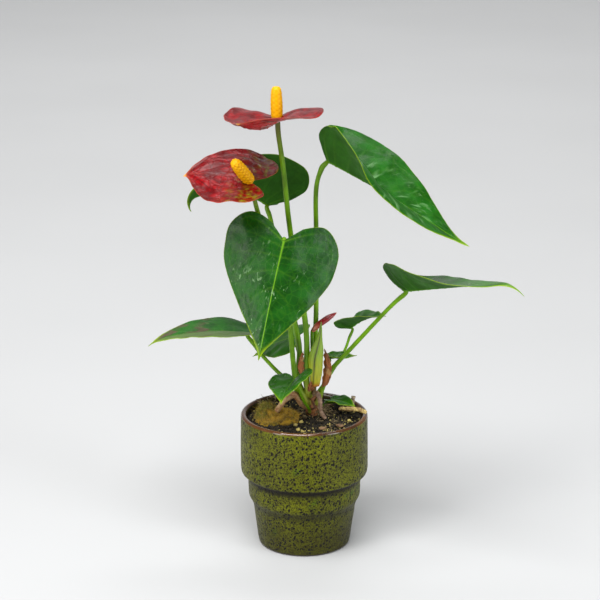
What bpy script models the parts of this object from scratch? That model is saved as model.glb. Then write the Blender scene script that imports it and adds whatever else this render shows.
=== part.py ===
"""A red anthurium in a small glazed pot, as one named object for each piece.

The origin is the centre of the pot's foot, +Z is up and -Y is the side that the flowers face. Sizes in the
named values below are in millimetres and degrees, and MM turns them into Blender's metres.

The pot is turned from a stepped outline, and the potting mix fills it. A short rhizome stands in the mix and
carries every stem. Heights in the mix and the plant are from the pot's rim, so the plant stays in place on it
when the pot's height changes, and what lies on the mix is placed by shares of the mix's radius.

A leaf and a spathe are the same kind of surface: a heart outline, laid along a midrib that rises, droops and
sways, with each half folded and curled about that midrib.
"""

import math
from dataclasses import dataclass

import bmesh
import bpy
import numpy as np

MM = 0.001

# Pot, by height above its foot
POT_HEIGHT = 75.5
RIM_RADIUS = 34.9
BELLY_RADIUS = 35.2
STEP_TOP, STEP_BOTTOM = 43.0, 40.6
STEP_RADIUS = 31.3
SHOULDER_TOP, SHOULDER_BOTTOM = 28.6, 24.0
SHOULDER_RADIUS = 31.0
WAIST_RADIUS = 28.9
BASE_RADIUS = 25.8
FOOT_RADIUS = 23.6
FOOT_ROUND = 2.6
SOFT_EDGE = 1.4  # how far each step's corners are rounded off, along the wall
SOFT_DEPTH = 0.5  # and into it
WALL = 3.0
FLOOR = 4.0
POT_SEGMENTS = 40

# Fit between pieces
GAP = 0.3  # between two pieces that rest on or in each other
MIX_DEPTH = 4.5  # from the rim down to the potting mix at the wall
MIX_MOUND = 3.0  # how far the mix rises towards the middle
STEM_END_GAP = 1.0  # from a stem's end to the underside of its blade
SPADIX_SEAT = 2.3  # from a spathe's upper face to the foot of its spadix
BUD_SEAT = 1.6  # from the end of the bud's stalk to the middle of the bud's foot

# Rhizome, by height above the rim
CROWN = (4.0, 1.0)
RHIZOME_RADIUS = 3.4
RHIZOME_SHAPE = ((-17.5, 0.65), (-13, 0.9), (-7, 1), (-2.5, 0.94), (1.5, 1), (5.5, 0.85), (9.5, 0.74),
                 (12.5, 0.56), (15, 0.38))  # height, share of the radius

# Leaves and flowers
BLADE_THICKNESS = 0.5
SPATHE_THICKNESS = 0.6
BLADE_ROWS = 14
BLADE_COLUMNS = 3  # on each side of the midrib
BACK_REACH = 0.4  # how far behind the joint a midrib's frame is worked out, as a share of the length
MIDRIB_STEPS = 120

# Outlines of one half, as shares of the length: along the midrib from the joint, and out from it
LEAF_HEART = ((0, 0), (-0.12, 0.12), (-0.17, 0.29), (-0.04, 0.42), (0.2, 0.43), (0.45, 0.325), (0.7, 0.165),
              (0.9, 0.035), (1, 0))
SHALLOW_HEART = ((0, 0), (-0.1, 0.09), (-0.2, 0.24), (-0.1, 0.36), (0.14, 0.4), (0.42, 0.31), (0.68, 0.16),
                 (0.88, 0.035), (1, 0))
SPATHE_HEART = ((0, 0), (-0.2, 0.13), (-0.3, 0.33), (-0.14, 0.54), (0.2, 0.6), (0.52, 0.46), (0.78, 0.22),
                (0.93, 0.045), (1, 0))
LANCE = ((0, 0), (0.1, 0.09), (0.4, 0.13), (0.75, 0.08), (1, 0))

# Colour and roughness
COLOURS = {
    "glaze": ((0.12, 0.13, 0.02), 0.25),
    "mix": ((0.03, 0.02, 0.012), 0.95),
    "moss": ((0.2, 0.13, 0.03), 0.95),
    "root": ((0.36, 0.24, 0.14), 0.8),
    "rhizome": ((0.16, 0.07, 0.03), 0.85),
    "leaf": ((0.03, 0.15, 0.012), 0.3),
    "stem": ((0.11, 0.26, 0.02), 0.45),
    "spathe": ((0.32, 0.008, 0.012), 0.2),
    "spadix": ((0.85, 0.55, 0.01), 0.55),
    "sheath": ((0.3, 0.4, 0.03), 0.5),
    "papery": ((0.22, 0.07, 0.02), 0.8),
    "perlite": ((0.75, 0.68, 0.5), 0.9),
    "bark": ((0.2, 0.12, 0.06), 0.9),
}


@dataclass
class Blade:
    """One leaf, spathe or scrap of sheath. Left is as seen from the joint, looking to the tip."""

    joint: tuple  # where the stem meets the blade
    length: float  # from the joint to the tip
    heading: float  # compass angle of the midrib from +X, towards +Y
    rise: float  # how steeply the midrib leaves the joint
    droop: float = 0.0  # how much steepness is lost by the tip
    hook: float = 0.0  # extra droop in the last fifth
    sway: float = 0.0  # how far the heading turns by the tip
    roll: float = 0.0  # lifts the left half and lowers the right one
    twist: float = 0.0  # roll added by the tip
    fold: tuple = (0.0, 0.0)  # how steeply the left and right halves leave the midrib
    curl: tuple = (0.0, 0.0)  # angle added between the midrib and the widest margin
    unfold: float = 0.0  # share of the fold and curl that is lost by the tip
    lobes: float = 0.0  # how steeply the lobes lift behind the joint
    width: float = 1.0  # against the outline's own width
    outline: tuple = LEAF_HEART


@dataclass
class Stem:
    """A petiole or a stalk, which leaves the rhizome's side and runs through the route to its blade."""

    side: float  # compass angle round the rhizome
    height: float  # of the foot
    route: tuple
    foot: float  # radius at the foot
    top: float  # radius at the top


LEAVES = {
    "front": Blade((-10.7, -26, 105.1), 64.8, 232, -68, droop=6, hook=-2, sway=-3, roll=-39, twist=14,
                   fold=(-9, -8), curl=(-16, -16), width=1.11),
    "tall": Blade((12, 2, 141), 88.8, -17, -24, droop=8, hook=-10, sway=-4, roll=-9, twist=33, fold=(40, 63),
                  curl=(-17, -46), unfold=1.1, lobes=60, width=0.88),
    "right": Blade((55, 10, 66.6), 89, -58, 17, droop=3, hook=60, sway=23, roll=-3, twist=3, fold=(20, 62),
                   curl=(-1, -5), unfold=1.4, lobes=73, width=0.56, outline=SHALLOW_HEART),
    "rear": Blade((-19.8, 20, 111.9), 52, 193, 39, droop=71, hook=92, roll=27, twist=8, fold=(54, 51),
                  curl=(-21, -20), unfold=0.6, lobes=-8, width=1.37),
    "left": Blade((-31, 12, 41.3), 57, 183, 11, droop=32, hook=17, roll=4, twist=-27, fold=(22, 7),
                  curl=(-22, -7), lobes=59, width=0.8),
    "low_front": Blade((-5.1, -14, 24.1), 24.6, 244, -14, hook=12, sway=15, roll=19, twist=-9, fold=(28, 17),
                       curl=(-29, -4), lobes=14, width=1.28),
    "back_right": Blade((26.5, 40, 35.8), 26.3, -31, 44, droop=37, hook=6, sway=-5, twist=5, fold=(31, 41),
                        curl=(-9, -7), unfold=0.8, lobes=24, width=1.11),
    "back_left": Blade((-5.7, 30, 33.1), 33.8, 143, -17, droop=27, hook=-5, sway=5, roll=-18, twist=-7,
                       fold=(-4, 6), curl=(-12, -10), lobes=9),
    "low_right": Blade((14.3, 18, 25.3), 15.3, -3, 3, droop=-7, hook=-8, roll=-4, twist=32, fold=(17, 22),
                       lobes=14, width=0.94),
    "on_mix": Blade((15.4, 10, 3.4), 16.3, -26, 7, droop=24, sway=-16, roll=-5, twist=26, fold=(13, 13),
                    curl=(-6, -4), lobes=3),
}
SPATHES = {
    "top": Blade((-14.4, -8, 165.1), 47.8, 257, -9, droop=-34, sway=-26, roll=11, twist=6, fold=(23, 21),
                 curl=(-45, -2), unfold=-0.1, lobes=-54, width=0.93, outline=SPATHE_HEART),
    "left": Blade((-28.4, -18, 134.8), 37.7, 163, 10, droop=16, hook=23, roll=-23, twist=-24, fold=(4, -3),
                  curl=(14, -9), lobes=17, width=1.16, outline=SPATHE_HEART),
}
PETIOLES = {
    "front": Stem(228, 8, ((-2.6, -3.6, 14.5), (-5.1, -4.4, 20.5), (-7.3, -4.6, 44.5), (-9.5, -6, 70.5),
                           (-11, -15, 94.5)), 1.5, 1.3),
    "tall": Stem(73, 12, ((5.5, 5.4, 24.5), (6.4, 5.5, 58.5), (6.3, 5, 96.5), (6.2, 3.6, 124.5),
                          (8.8, 2.6, 136)), 1.4, 1.25),
    "right": Stem(-21, 7.5, ((10.6, 0.2, 15.5), (14.4, 1.4, 23.5), (26.5, 4, 36.7), (47, 8.5, 58.1)),
                  1.3, 1.1),
    "rear": Stem(133, 11.5, ((-1.5, 5.8, 28.5), (-5, 7.5, 44.5), (-12, 12, 74.5), (-17.8, 17.5, 102.5)),
                 1.3, 1.1),
    "left": Stem(152, 5, ((-7, 3.8, 14.5), (-15, 6.5, 21.5), (-23.5, 9.5, 30), (-28, 11, 36)), 1.2, 1),
    "low_front": Stem(250, 3, ((-0.4, -8, 9.5), (-3, -11.5, 17)), 0.8, 0.7),
    "back_right": Stem(54, 8.5, ((12.4, 12, 14.5), (22, 32, 23.5), (25.4, 38, 30.5)), 0.9, 0.75),
    "back_left": Stem(108, 7.5, ((0.5, 13, 16.5), (-3.4, 24, 26.5)), 0.9, 0.75),
    "low_right": Stem(11, 6.5, ((10.8, 6.8, 13.5), (13, 15, 20.5)), 0.7, 0.6),
    "on_mix": Stem(35, 1, ((10.5, 7, 1.4), (12.5, 8.6, 2.5)), 0.8, 0.7),
}
STALKS = {
    "top": Stem(238, 12.5, ((1.3, -1.6, 20.5), (1, -1.2, 46.5), (-3, -2, 76.5), (-7.7, -3.8, 104.5),
                            (-11.2, -5.6, 138.5), (-13.6, -7.2, 156.5)), 1.6, 1.3),
    "left": Stem(184, 10, ((-3.6, 0.2, 20.5), (-2.8, 0, 38.5), (-8, 1, 62.5), (-16, -4, 88.5),
                           (-24, -12, 114.5), (-27, -16, 127.5)), 1.5, 1.2),
}
SPADICES = {  # top, radius
    "top": ((-14.8, -8, 182.9), 3.15),
    "left": ((-36.4, -30, 148), 3.2),
}
SPADIX_SHAPE = ((0, 0.86), (0.1, 0.97), (0.35, 1), (0.6, 0.97), (0.8, 0.9), (0.92, 0.78), (0.98, 0.55),
                (1, 0.3))  # share of the length, share of the radius

# The new growth at the crown
SHEATH_RINGS = (  # height, centre, half width, half depth
    (16.5, (5.7, -3.2), 2.6, 1.8),
    (20.5, (6, -3.6), 3.1, 2.2),
    (26.5, (6.2, -3.9), 3.7, 2.4),
    (32.5, (6.2, -3.8), 4, 2.4),
    (37.5, (6.9, -3.8), 3.4, 2),
    (42.5, (7.8, -3.6), 2, 1.5),
    (48.5, (8.7, -3.2), 0.9, 0.8),
    (53, (9.1, -3), 0.25, 0.25),
)
BUD_STALK_ROUTE = ((4.3, 1, 19.5), (4.2, 1.2, 30.5), (4.1, 1.5, 44.5))
BUD_STALK_RADIUS = 0.9
BUD_ROUTE = ((7.2, 1.6, 49.5), (12.5, 3, 53.1), (17.8, 5, 55.9))
BUD_RADII = (1.1, 1.7, 1.75, 0.8)
PAPERY = {
    "right": Blade((9.9, -3.2, 15.5), 23, 0, 70, droop=-36, roll=55, fold=(-20, -20), curl=(-20, -20),
                   outline=LANCE),
    "left": Blade((-0.9, -4, 22.5), 14.5, 180, 74, droop=-36, roll=-60, fold=(-10, -10), curl=(-20, -20),
                  outline=LANCE),
    "front": Blade((2.4, -6.6, 14.1), 6.5, 20, 76, roll=75, fold=(-10, -10), curl=(-20, -20), width=1.5,
                   outline=LANCE),
}
ROOTS = {  # compass angle and height of the foot, route, radii
    "left": (196, 4, ((-5.2, -2.2, 10.7), (-9.5, -4.2, 9.9), (-13, -5, 5.5), (-15, -4.4, 2.1)),
             (1.5, 1.9, 1.8, 1.5, 1.4)),
    "right": (298, 12, ((7.2, -6, 12.7), (8.6, -7.4, 9), (8.9, -7.4, 3.5), (11.4, -7.4, -1.1)),
              (1.2, 1.35, 1.25, 1.1, 1)),
}

# What lies on the mix, each place a compass angle and a share of the mix's radius
DRY_STALK_ROUTE = ((3, 0.61, 1.5), (-5, 0.76, 2.5), (-7, 0.91, 2.9), (-8, 1.01, 2.3), (-8.4, 1.08, 1.5))
DRY_STALK_RADII = (1, 1.3, 1.4, 1.1, 1)
TWIG_ROUTE = ((22, 0.88, -1.9), (22.2, 0.91, 1.5), (22.6, 0.925, 5.1))
TWIG_RADII = (1, 1.1, 1.2)
MOSS_MOUNDS = ((167, 0.69, 5.5, 6.6), (188, 0.443, 5, 3.2), (232, 0.38, 5.5, 4.6))  # spread and height last
MOSS_CENTRE = (188, 0.443)
MOSS_EDGE = ((-135, 12.5), (-90, 10), (-45, 15), (-10, 9.5), (45, 7.5), (90, 11), (140, 15), (180, 13.5))
MOSS_MINIMUM = 0.5  # thickness at the edge
CHIPS = {  # material, compass angle, share, radii, turn
    "perlite_middle": ("perlite", -98, 0.38, (1.2, 1, 0.9), 20),
    "perlite_front": ("perlite", -99, 0.65, (1.3, 1.1, 0.9), 60),
    "bark_front": ("bark", -62, 0.655, (2.3, 1.4, 0.9), 15),
    "bark_right": ("bark", -35.6, 0.745, (2.6, 1.5, 1), -30),
    "perlite_right": ("perlite", -12, 0.79, (1.1, 1, 0.9), 0),
    "bark_back": ("bark", 53.6, 0.74, (2.4, 1.6, 1), 40),
}
CHIP_ROUGHNESS = 0.14


# Objects


def clear_scene():
    for item in list(bpy.data.objects):
        bpy.data.objects.remove(item)


def material(name):
    """A Principled material in one of COLOURS, made once."""
    found = bpy.data.materials.get(name)
    if found:
        return found
    colour, roughness = COLOURS[name]
    made = bpy.data.materials.new(name)
    made.use_nodes = True
    shader = made.node_tree.nodes["Principled BSDF"]
    shader.inputs["Base Color"].default_value = (*colour, 1)
    shader.inputs["Roughness"].default_value = roughness
    shader.inputs["Metallic"].default_value = 0
    return made


def add_object(name, data, material_name):
    made = bpy.data.objects.new(name, data)
    bpy.context.scene.collection.objects.link(made)
    data.materials.append(material(material_name))
    return made


def mesh_object(name, points, faces, material_name):
    """A smooth object from points in millimetres and faces, which are turned to point outwards."""
    mesh = bpy.data.meshes.new(name)
    mesh.from_pydata((np.asarray(points, float) * MM).tolist(), [], faces)
    work = bmesh.new()
    work.from_mesh(mesh)
    bmesh.ops.recalc_face_normals(work, faces=work.faces)
    work.to_mesh(mesh)
    work.free()
    mesh.shade_smooth()
    return add_object(name, mesh, material_name)


def turned(name, profile, material_name):
    """A closed turned solid from an outline of (radius, height), which starts and ends on the axis."""
    work = bmesh.new()
    corners = [work.verts.new((radius * MM, 0, height * MM)) for radius, height in profile]
    edges = [work.edges.new(pair) for pair in zip(corners, corners[1:])]
    bmesh.ops.spin(work, geom=corners + edges, cent=(0, 0, 0), axis=(0, 0, 1), angle=2 * math.pi,
                   steps=POT_SEGMENTS, use_merge=True, use_duplicate=False)
    bmesh.ops.remove_doubles(work, verts=work.verts, dist=1e-6)
    bmesh.ops.recalc_face_normals(work, faces=work.faces)
    mesh = bpy.data.meshes.new(name)
    work.to_mesh(mesh)
    work.free()
    mesh.shade_smooth()
    mesh.set_sharp_from_angle(angle=math.radians(40))
    return add_object(name, mesh, material_name)


def lofted(name, rings, material_name, sides=12):
    """A closed solid through level ellipses, each (height, centre, half width, half depth)."""
    turns = np.arange(sides) * 2 * math.pi / sides
    points = [(x + wide * math.cos(turn), y + deep * math.sin(turn), height)
              for height, (x, y), wide, deep in rings for turn in turns]
    faces = [(low + i, low + (i + 1) % sides, low + sides + (i + 1) % sides, low + sides + i)
             for low in range(0, len(points) - sides, sides) for i in range(sides)]
    faces += [tuple(range(sides)), tuple(range(len(points) - sides, len(points)))]
    return mesh_object(name, points, faces, material_name)


def smooth_path(points, count):
    """The given number of places, spread evenly from knot to knot, on a Catmull-Rom curve through points."""
    points = np.asarray(points, float)
    ends = np.vstack([2 * points[0] - points[1], points, 2 * points[-1] - points[-2]])
    where = np.linspace(0, len(points) - 1, count)
    first = np.minimum(where.astype(int), len(points) - 2)
    t = (where - first)[:, None]
    a, b, c, d = (ends[first + i] for i in range(4))
    return 0.5 * (2 * b + (c - a) * t + (2 * a - 5 * b + 4 * c - d) * t**2 + (3 * b - a - 3 * c + d) * t**3)


def tube(name, path, radii, material_name, sides=6):
    """A round bar along a path, with a radius for each of its places."""
    data = bpy.data.curves.new(name, "CURVE")
    data.dimensions = "3D"
    data.bevel_depth = 1.0
    data.bevel_resolution = sides // 2 - 2
    data.use_fill_caps = True
    spline = data.splines.new("POLY")
    spline.points.add(len(path) - 1)
    for point, place, radius in zip(spline.points, path, radii):
        point.co = (*(np.asarray(place) * MM), 1)
        point.radius = radius * MM
    return add_object(name, data, material_name)


def tapered(name, route, radii, material_name):
    """A round bar along a smooth curve, whose radius follows the given ones."""
    count = 2 * len(route) + 1
    spread = np.interp(np.linspace(0, 1, count), np.linspace(0, 1, len(radii)), radii)
    return tube(name, smooth_path(route, count), spread, material_name)


# Blades


def midrib_frame(blade):
    """Arrays along the midrib, from behind the joint to the tip: the share of the length, the place, and
    the directions to the left and up.

    The steepness is rise, less droop in proportion to the distance from the joint, less hook in the last
    fifth, and it falls off behind the joint so that the lobes lift. The place is the running sum of the
    directions, moved so that the joint is at its point.
    """
    along = np.linspace(-BACK_REACH, 1, MIDRIB_STEPS)
    ahead, behind = np.clip(along, 0, 1), np.clip(-along / BACK_REACH, 0, 1)
    near_tip = np.clip((along - 0.8) / 0.2, 0, 1)
    steepness = np.radians(blade.rise - blade.droop * ahead - blade.hook * near_tip - blade.lobes * behind)
    compass = np.radians(blade.heading + blade.sway * ahead)
    lean = np.radians(blade.roll + blade.twist * ahead)[:, None]
    forward = np.stack([np.cos(steepness) * np.cos(compass), np.cos(steepness) * np.sin(compass),
                        np.sin(steepness)], 1)
    level = np.stack([-np.sin(compass), np.cos(compass), np.zeros_like(compass)], 1)
    normal = np.cross(forward, level)
    left = level * np.cos(lean) + normal * np.sin(lean)
    up = normal * np.cos(lean) - level * np.sin(lean)
    steps = (forward[1:] + forward[:-1]) / 2 * np.diff(along)[:, None] * blade.length
    place = np.vstack([np.zeros(3), np.cumsum(steps, 0)])
    at_joint = [np.interp(0, along, axis) for axis in place.T]
    return along, place - at_joint + np.array(blade.joint), left, up


def blade_point(blade, frame, along, out, side):
    """The place of flat points: along and out are shares of the length, and side is 1 left or -1 right.

    Across the midrib the surface is an arc: it leaves the midrib at the fold angle, and its angle changes
    evenly until it has changed by the curl at the widest margin.
    """
    shares, place, left, up = frame

    def read(values):
        return np.stack([np.interp(along, shares, axis) for axis in values.T], -1)

    hand = 0 if side > 0 else 1
    kept = 1 - blade.unfold * np.clip(along, 0, 1)
    fold = np.radians(blade.fold[hand]) * kept
    bend = np.radians(blade.curl[hand]) * kept + 1e-6
    widest = max(point[1] for point in blade.outline) * blade.width
    reach = out / widest
    across = widest / bend * (np.sin(fold + bend * reach) - np.sin(fold)) * blade.length
    lift = widest / bend * (np.cos(fold) - np.cos(fold + bend * reach)) * blade.length
    return read(place) + read(left) * (across * side)[..., None] + read(up) * lift[..., None]


def blade_rows(blade):
    """Places on the blade in rows from the left margin to the right one. The first row is all at the joint
    and the last all at the tip. Each row runs as a side vein does, from the midrib to the margin ahead."""
    frame = midrib_frame(blade)
    margin = smooth_path(blade.outline, BLADE_ROWS)
    start = np.linspace(0, 1, BLADE_ROWS)[:, None] ** 2
    share = np.linspace(0, 1, BLADE_COLUMNS + 1)
    along = start + (margin[:, :1] - start) * share
    out = np.maximum(margin[:, 1:], 0) * blade.width * share
    left = blade_point(blade, frame, along, out, 1)
    right = blade_point(blade, frame, along, out, -1)
    return np.concatenate([left[:, ::-1], right[:, 1:]], 1)


def blade_object(name, blade, thickness, material_name):
    """A thin closed solid: the blade's rows as one sheet, given its thickness about that sheet."""
    rows = blade_rows(blade)
    width = rows.shape[1]
    points = [rows[0, 0], *rows[1:-1].reshape(-1, 3), rows[-1, 0]]
    tip = len(points) - 1
    faces = [(0, 1 + i, 2 + i) for i in range(width - 1)]
    faces += [(first + i, first + width + i, first + width + i + 1, first + i + 1)
              for first in range(1, tip - width, width) for i in range(width - 1)]
    faces += [(tip - width + i, tip, tip - width + i + 1) for i in range(width - 1)]
    made = mesh_object(name, points, faces, material_name)
    wall = made.modifiers.new("Thickness", "SOLIDIFY")
    wall.thickness = thickness * MM
    wall.offset = 0


def joint_up(blade):
    """The direction that the blade's upper face looks in at the joint."""
    along, _, _, up = midrib_frame(blade)
    return np.array([np.interp(0, along, axis) for axis in up.T])


# The plant


def rhizome_object(name, extra):
    """The rhizome's knobbly upright stub, grown by extra all round and at its foot."""
    rings = []
    for i, (height, share) in enumerate(RHIZOME_SHAPE):
        radius = RHIZOME_RADIUS * share + extra
        rings.append((height if i else height - extra, CROWN, radius, radius))
    return lofted(name, rings, "rhizome", 10)


def beside_rhizome(angle, height, radius):
    """Where the foot of a stem or root of this radius stands clear of the rhizome's side."""
    reach = RHIZOME_RADIUS * np.interp(height, *zip(*RHIZOME_SHAPE)) + GAP + radius
    turn = math.radians(angle)
    return CROWN[0] + reach * math.cos(turn), CROWN[1] + reach * math.sin(turn), height


def stem_object(name, stem, blade, thickness):
    """A stem from the rhizome's side to just under its blade's joint."""
    foot = beside_rhizome(stem.side, stem.height, stem.foot)
    end = np.array(blade.joint) - joint_up(blade) * (thickness / 2 + STEM_END_GAP)
    tapered(name, (foot, *stem.route, end), (stem.foot, stem.top), "stem")


def spadix_object(name, blade, top, radius):
    """A spadix: a blunt rod that stands on its spathe's joint, a little thinner at both ends."""
    lean = np.array(top) - blade.joint
    foot = blade.joint + lean / np.linalg.norm(lean) * (SPATHE_THICKNESS / 2 + SPADIX_SEAT)
    share, radii = np.array(SPADIX_SHAPE).T
    tube(name, foot + (np.array(top) - foot) * share[:, None], radius * radii, "spadix", 10)


def make_leaves():
    for name, blade in LEAVES.items():
        blade_object("blade_" + name, blade, BLADE_THICKNESS, "leaf")
        stem_object("petiole_" + name, PETIOLES[name], blade, BLADE_THICKNESS)


def make_flowers():
    for name, blade in SPATHES.items():
        blade_object("spathe_" + name, blade, SPATHE_THICKNESS, "spathe")
        stem_object("stalk_" + name, STALKS[name], blade, SPATHE_THICKNESS)
        spadix_object("spadix_" + name, blade, *SPADICES[name])


def make_new_growth():
    """The sheath beside the crown, scraps of old sheath, and a rolled bud on its stalk."""
    lofted("sheath", SHEATH_RINGS, "sheath")
    for name, blade in PAPERY.items():
        blade_object("papery_" + name, blade, BLADE_THICKNESS, "papery")
    foot = (*CROWN, RHIZOME_SHAPE[-1][0] + GAP)
    tapered("stalk_bud", (foot, *BUD_STALK_ROUTE), (BUD_STALK_RADIUS, BUD_STALK_RADIUS), "stem")
    seat = np.array(BUD_STALK_ROUTE[-1]) + (0, 0, BUD_SEAT)
    tapered("bud", (seat, *BUD_ROUTE), BUD_RADII, "spathe")


def make_roots():
    for name, (angle, height, route, radii) in ROOTS.items():
        tapered("root_" + name, (beside_rhizome(angle, height, radii[0]), *route), radii, "root")


# The pot and its mix


def outer_wall():
    """The pot's outside from the foot up to the lip, as (radius, height)."""
    return [
        (FOOT_RADIUS, 0),
        (BASE_RADIUS - SOFT_DEPTH, FOOT_ROUND / 3),
        (BASE_RADIUS, FOOT_ROUND),
        (WAIST_RADIUS - SOFT_DEPTH, SHOULDER_BOTTOM - SOFT_EDGE),
        (WAIST_RADIUS + SOFT_DEPTH, SHOULDER_BOTTOM + SOFT_EDGE),
        (SHOULDER_RADIUS - SOFT_DEPTH, SHOULDER_TOP - SOFT_EDGE),
        (SHOULDER_RADIUS, SHOULDER_TOP),
        (STEP_RADIUS, STEP_BOTTOM - SOFT_EDGE),
        (STEP_RADIUS + SOFT_DEPTH, STEP_BOTTOM),
        (BELLY_RADIUS - SOFT_DEPTH, STEP_TOP - SOFT_EDGE),
        (BELLY_RADIUS, STEP_TOP + SOFT_EDGE),
        (RIM_RADIUS, POT_HEIGHT - WALL / 2),
    ]


def inner_radius(height):
    """The inside radius at a height above the foot: the outside one wall lower, less the wall.

    Looking one wall lower keeps the wall thick under the steps.
    """
    radii, heights = zip(*outer_wall())
    return float(np.interp(height - WALL, heights, radii)) - WALL


def inner_wall(bottom, top, clearance):
    """The inside from top down to bottom, as (radius, height), less a clearance."""
    steps = [height + WALL for _, height in outer_wall() if bottom < height + WALL < top]
    return [(inner_radius(height) - clearance, height) for height in [top, *steps[::-1], bottom]]


def make_pot():
    half = WALL / 2
    lip = [(RIM_RADIUS - half + half * math.cos(angle), POT_HEIGHT - half + half * math.sin(angle))
           for angle in np.radians([30, 60, 90, 120, 150])]
    inside = inner_wall(FLOOR, POT_HEIGHT - half, 0)
    turned("pot", [(0, 0), *outer_wall(), *lip, *inside, (0, FLOOR)], "glaze")


def mix_radius():
    return inner_radius(POT_HEIGHT - MIX_DEPTH) - GAP


def mix_level(radius):
    """The mix's surface above the rim, which rises in a soft mound towards the middle."""
    share = min(radius / mix_radius(), 1)
    return MIX_MOUND * (0.5 + 0.5 * math.cos(math.pi * share)) - MIX_DEPTH


def on_mix(angle, share):
    """The level place at a compass angle and a share of the mix's radius."""
    reach = share * mix_radius()
    return reach * math.cos(math.radians(angle)), reach * math.sin(math.radians(angle))


def make_potting_mix():
    """The mix fills the pot, with a socket that the rhizome stands in."""
    sides = [(radius, height - POT_HEIGHT)
             for radius, height in inner_wall(FLOOR + GAP, POT_HEIGHT - MIX_DEPTH, GAP)]
    mound = [(radius, mix_level(radius)) for radius in np.linspace(0, 1, 8)[:-1] * mix_radius()]
    mix = turned("potting_mix", [*mound, *sides, (0, sides[-1][1])], "mix")
    socket = rhizome_object("rhizome_socket", GAP)
    socket.hide_render = True
    socket.display_type = "WIRE"
    cut = mix.modifiers.new("Socket", "BOOLEAN")
    cut.operation = "DIFFERENCE"
    cut.object = socket


def moss_object():
    """A low cushion of moss: three mounds in one patch, its underside just clear of the mix."""
    rounds, turns = 5, 18
    angles = np.arange(turns) * 360 / turns - 180
    reach = np.interp(angles, *zip(*MOSS_EDGE), period=360)
    mounds = [(on_mix(angle, share), spread, high) for angle, share, spread, high in MOSS_MOUNDS]
    centre = on_mix(*MOSS_CENTRE)
    top, bottom = [], []
    for share in np.linspace(1, 0, rounds + 1):
        for angle, far in zip(np.radians(angles), reach):
            x, y = centre[0] + far * share * math.cos(angle), centre[1] + far * share * math.sin(angle)
            floor = mix_level(math.hypot(x, y)) + GAP
            swell = max(high * math.exp(-(math.dist((x, y), place) / spread) ** 2)
                        for place, spread, high in mounds)
            top.append((x, y, floor + MOSS_MINIMUM + swell))
            bottom.append((x, y, floor))
            if share == 0:
                break
    under = len(top)
    faces = [(i, (i + 1) % turns, (i + 1) % turns + under, i + under) for i in range(turns)]
    for first in (0, under):
        middle = first + rounds * turns
        for ring in range(first, middle - turns, turns):
            faces += [(ring + i, ring + (i + 1) % turns, ring + turns + (i + 1) % turns, ring + turns + i)
                      for i in range(turns)]
        faces += [(middle - turns + i, middle - turns + (i + 1) % turns, middle) for i in range(turns)]
    mesh_object("moss", top + bottom, faces, "moss")


def chip_object(name, material_name, angle, share, radii, turn):
    """A bit of bark or perlite that lies on the mix: a lump with irregular corners."""
    work = bmesh.new()
    bmesh.ops.create_icosphere(work, subdivisions=1, radius=1)
    lump = np.array([vert.co for vert in work.verts])
    faces = [[vert.index for vert in face.verts] for face in work.faces]
    work.free()
    uneven = 1 + CHIP_ROUGHNESS * np.sin(7 * np.arange(len(lump)) + turn)
    wide, deep, high = (lump * uneven[:, None] * radii).T
    x, y = on_mix(angle, share)
    cos, sin = math.cos(math.radians(turn)), math.sin(math.radians(turn))
    points = np.stack([x + wide * cos - deep * sin, y + wide * sin + deep * cos, high], 1)
    points[:, 2] += max(mix_level(math.hypot(px, py)) - pz for px, py, pz in points) + GAP
    mesh_object(name, points, faces, material_name)


def bar_on_mix(name, route, radii):
    tapered(name, [(*on_mix(angle, share), height) for angle, share, height in route], radii, "root")


def make_litter():
    """What lies on the mix: moss, bits of bark and perlite, a dried stalk over the rim and a twig."""
    moss_object()
    for name, chip in CHIPS.items():
        chip_object(name, *chip)
    bar_on_mix("dry_stalk", DRY_STALK_ROUTE, DRY_STALK_RADII)
    bar_on_mix("twig", TWIG_ROUTE, TWIG_RADII)


def raise_to_rim():
    """Hangs everything made so far on an empty at the rim's centre, which its heights are measured from."""
    rim = bpy.data.objects.new("rim_centre", None)
    for item in list(bpy.data.objects):
        if item != rim:
            item.parent = rim
    bpy.context.scene.collection.objects.link(rim)
    rim.location.z = POT_HEIGHT * MM


def main():
    clear_scene()
    rhizome_object("rhizome", 0)
    make_roots()
    make_leaves()
    make_flowers()
    make_new_growth()
    make_potting_mix()
    make_litter()
    raise_to_rim()
    make_pot()


main()
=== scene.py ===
"""The looks of a red anthurium in a small glazed pot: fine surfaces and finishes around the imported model.

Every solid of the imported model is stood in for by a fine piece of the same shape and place. Places and
sizes of the plant are in millimetres, with heights from the pot's rim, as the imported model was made; MM and
the rim's height, read from the frame, turn them into the scene's metres.

A surface is a grid of points worked out with numpy from a rule of two parameters, which its function's
docstring gives. Grids may carry attributes, such as how near a point is to a vein, for the finishes to
read.
"""

import math
from dataclasses import dataclass

import bmesh
import bpy
import numpy as np
from bpy.props import FloatProperty, FloatVectorProperty, IntProperty, PointerProperty
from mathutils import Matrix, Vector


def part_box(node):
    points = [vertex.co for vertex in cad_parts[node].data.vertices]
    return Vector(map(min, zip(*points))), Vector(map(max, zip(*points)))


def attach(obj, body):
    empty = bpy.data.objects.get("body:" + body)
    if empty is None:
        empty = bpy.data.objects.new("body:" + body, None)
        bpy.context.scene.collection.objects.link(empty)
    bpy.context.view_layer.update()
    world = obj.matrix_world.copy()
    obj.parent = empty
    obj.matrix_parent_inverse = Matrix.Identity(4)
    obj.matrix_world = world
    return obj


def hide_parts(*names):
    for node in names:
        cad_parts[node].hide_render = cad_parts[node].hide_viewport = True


bl_info = {
    "name": "Potted Anthurium",
    "version": (1, 0, 0),
    "blender": (4, 5, 0),
    "location": "View3D > Sidebar > Anthurium",
    "description": "Makes the fine surfaces and the finishes of a red anthurium in a glazed pot",
    "category": "Add Mesh",
}

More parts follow.
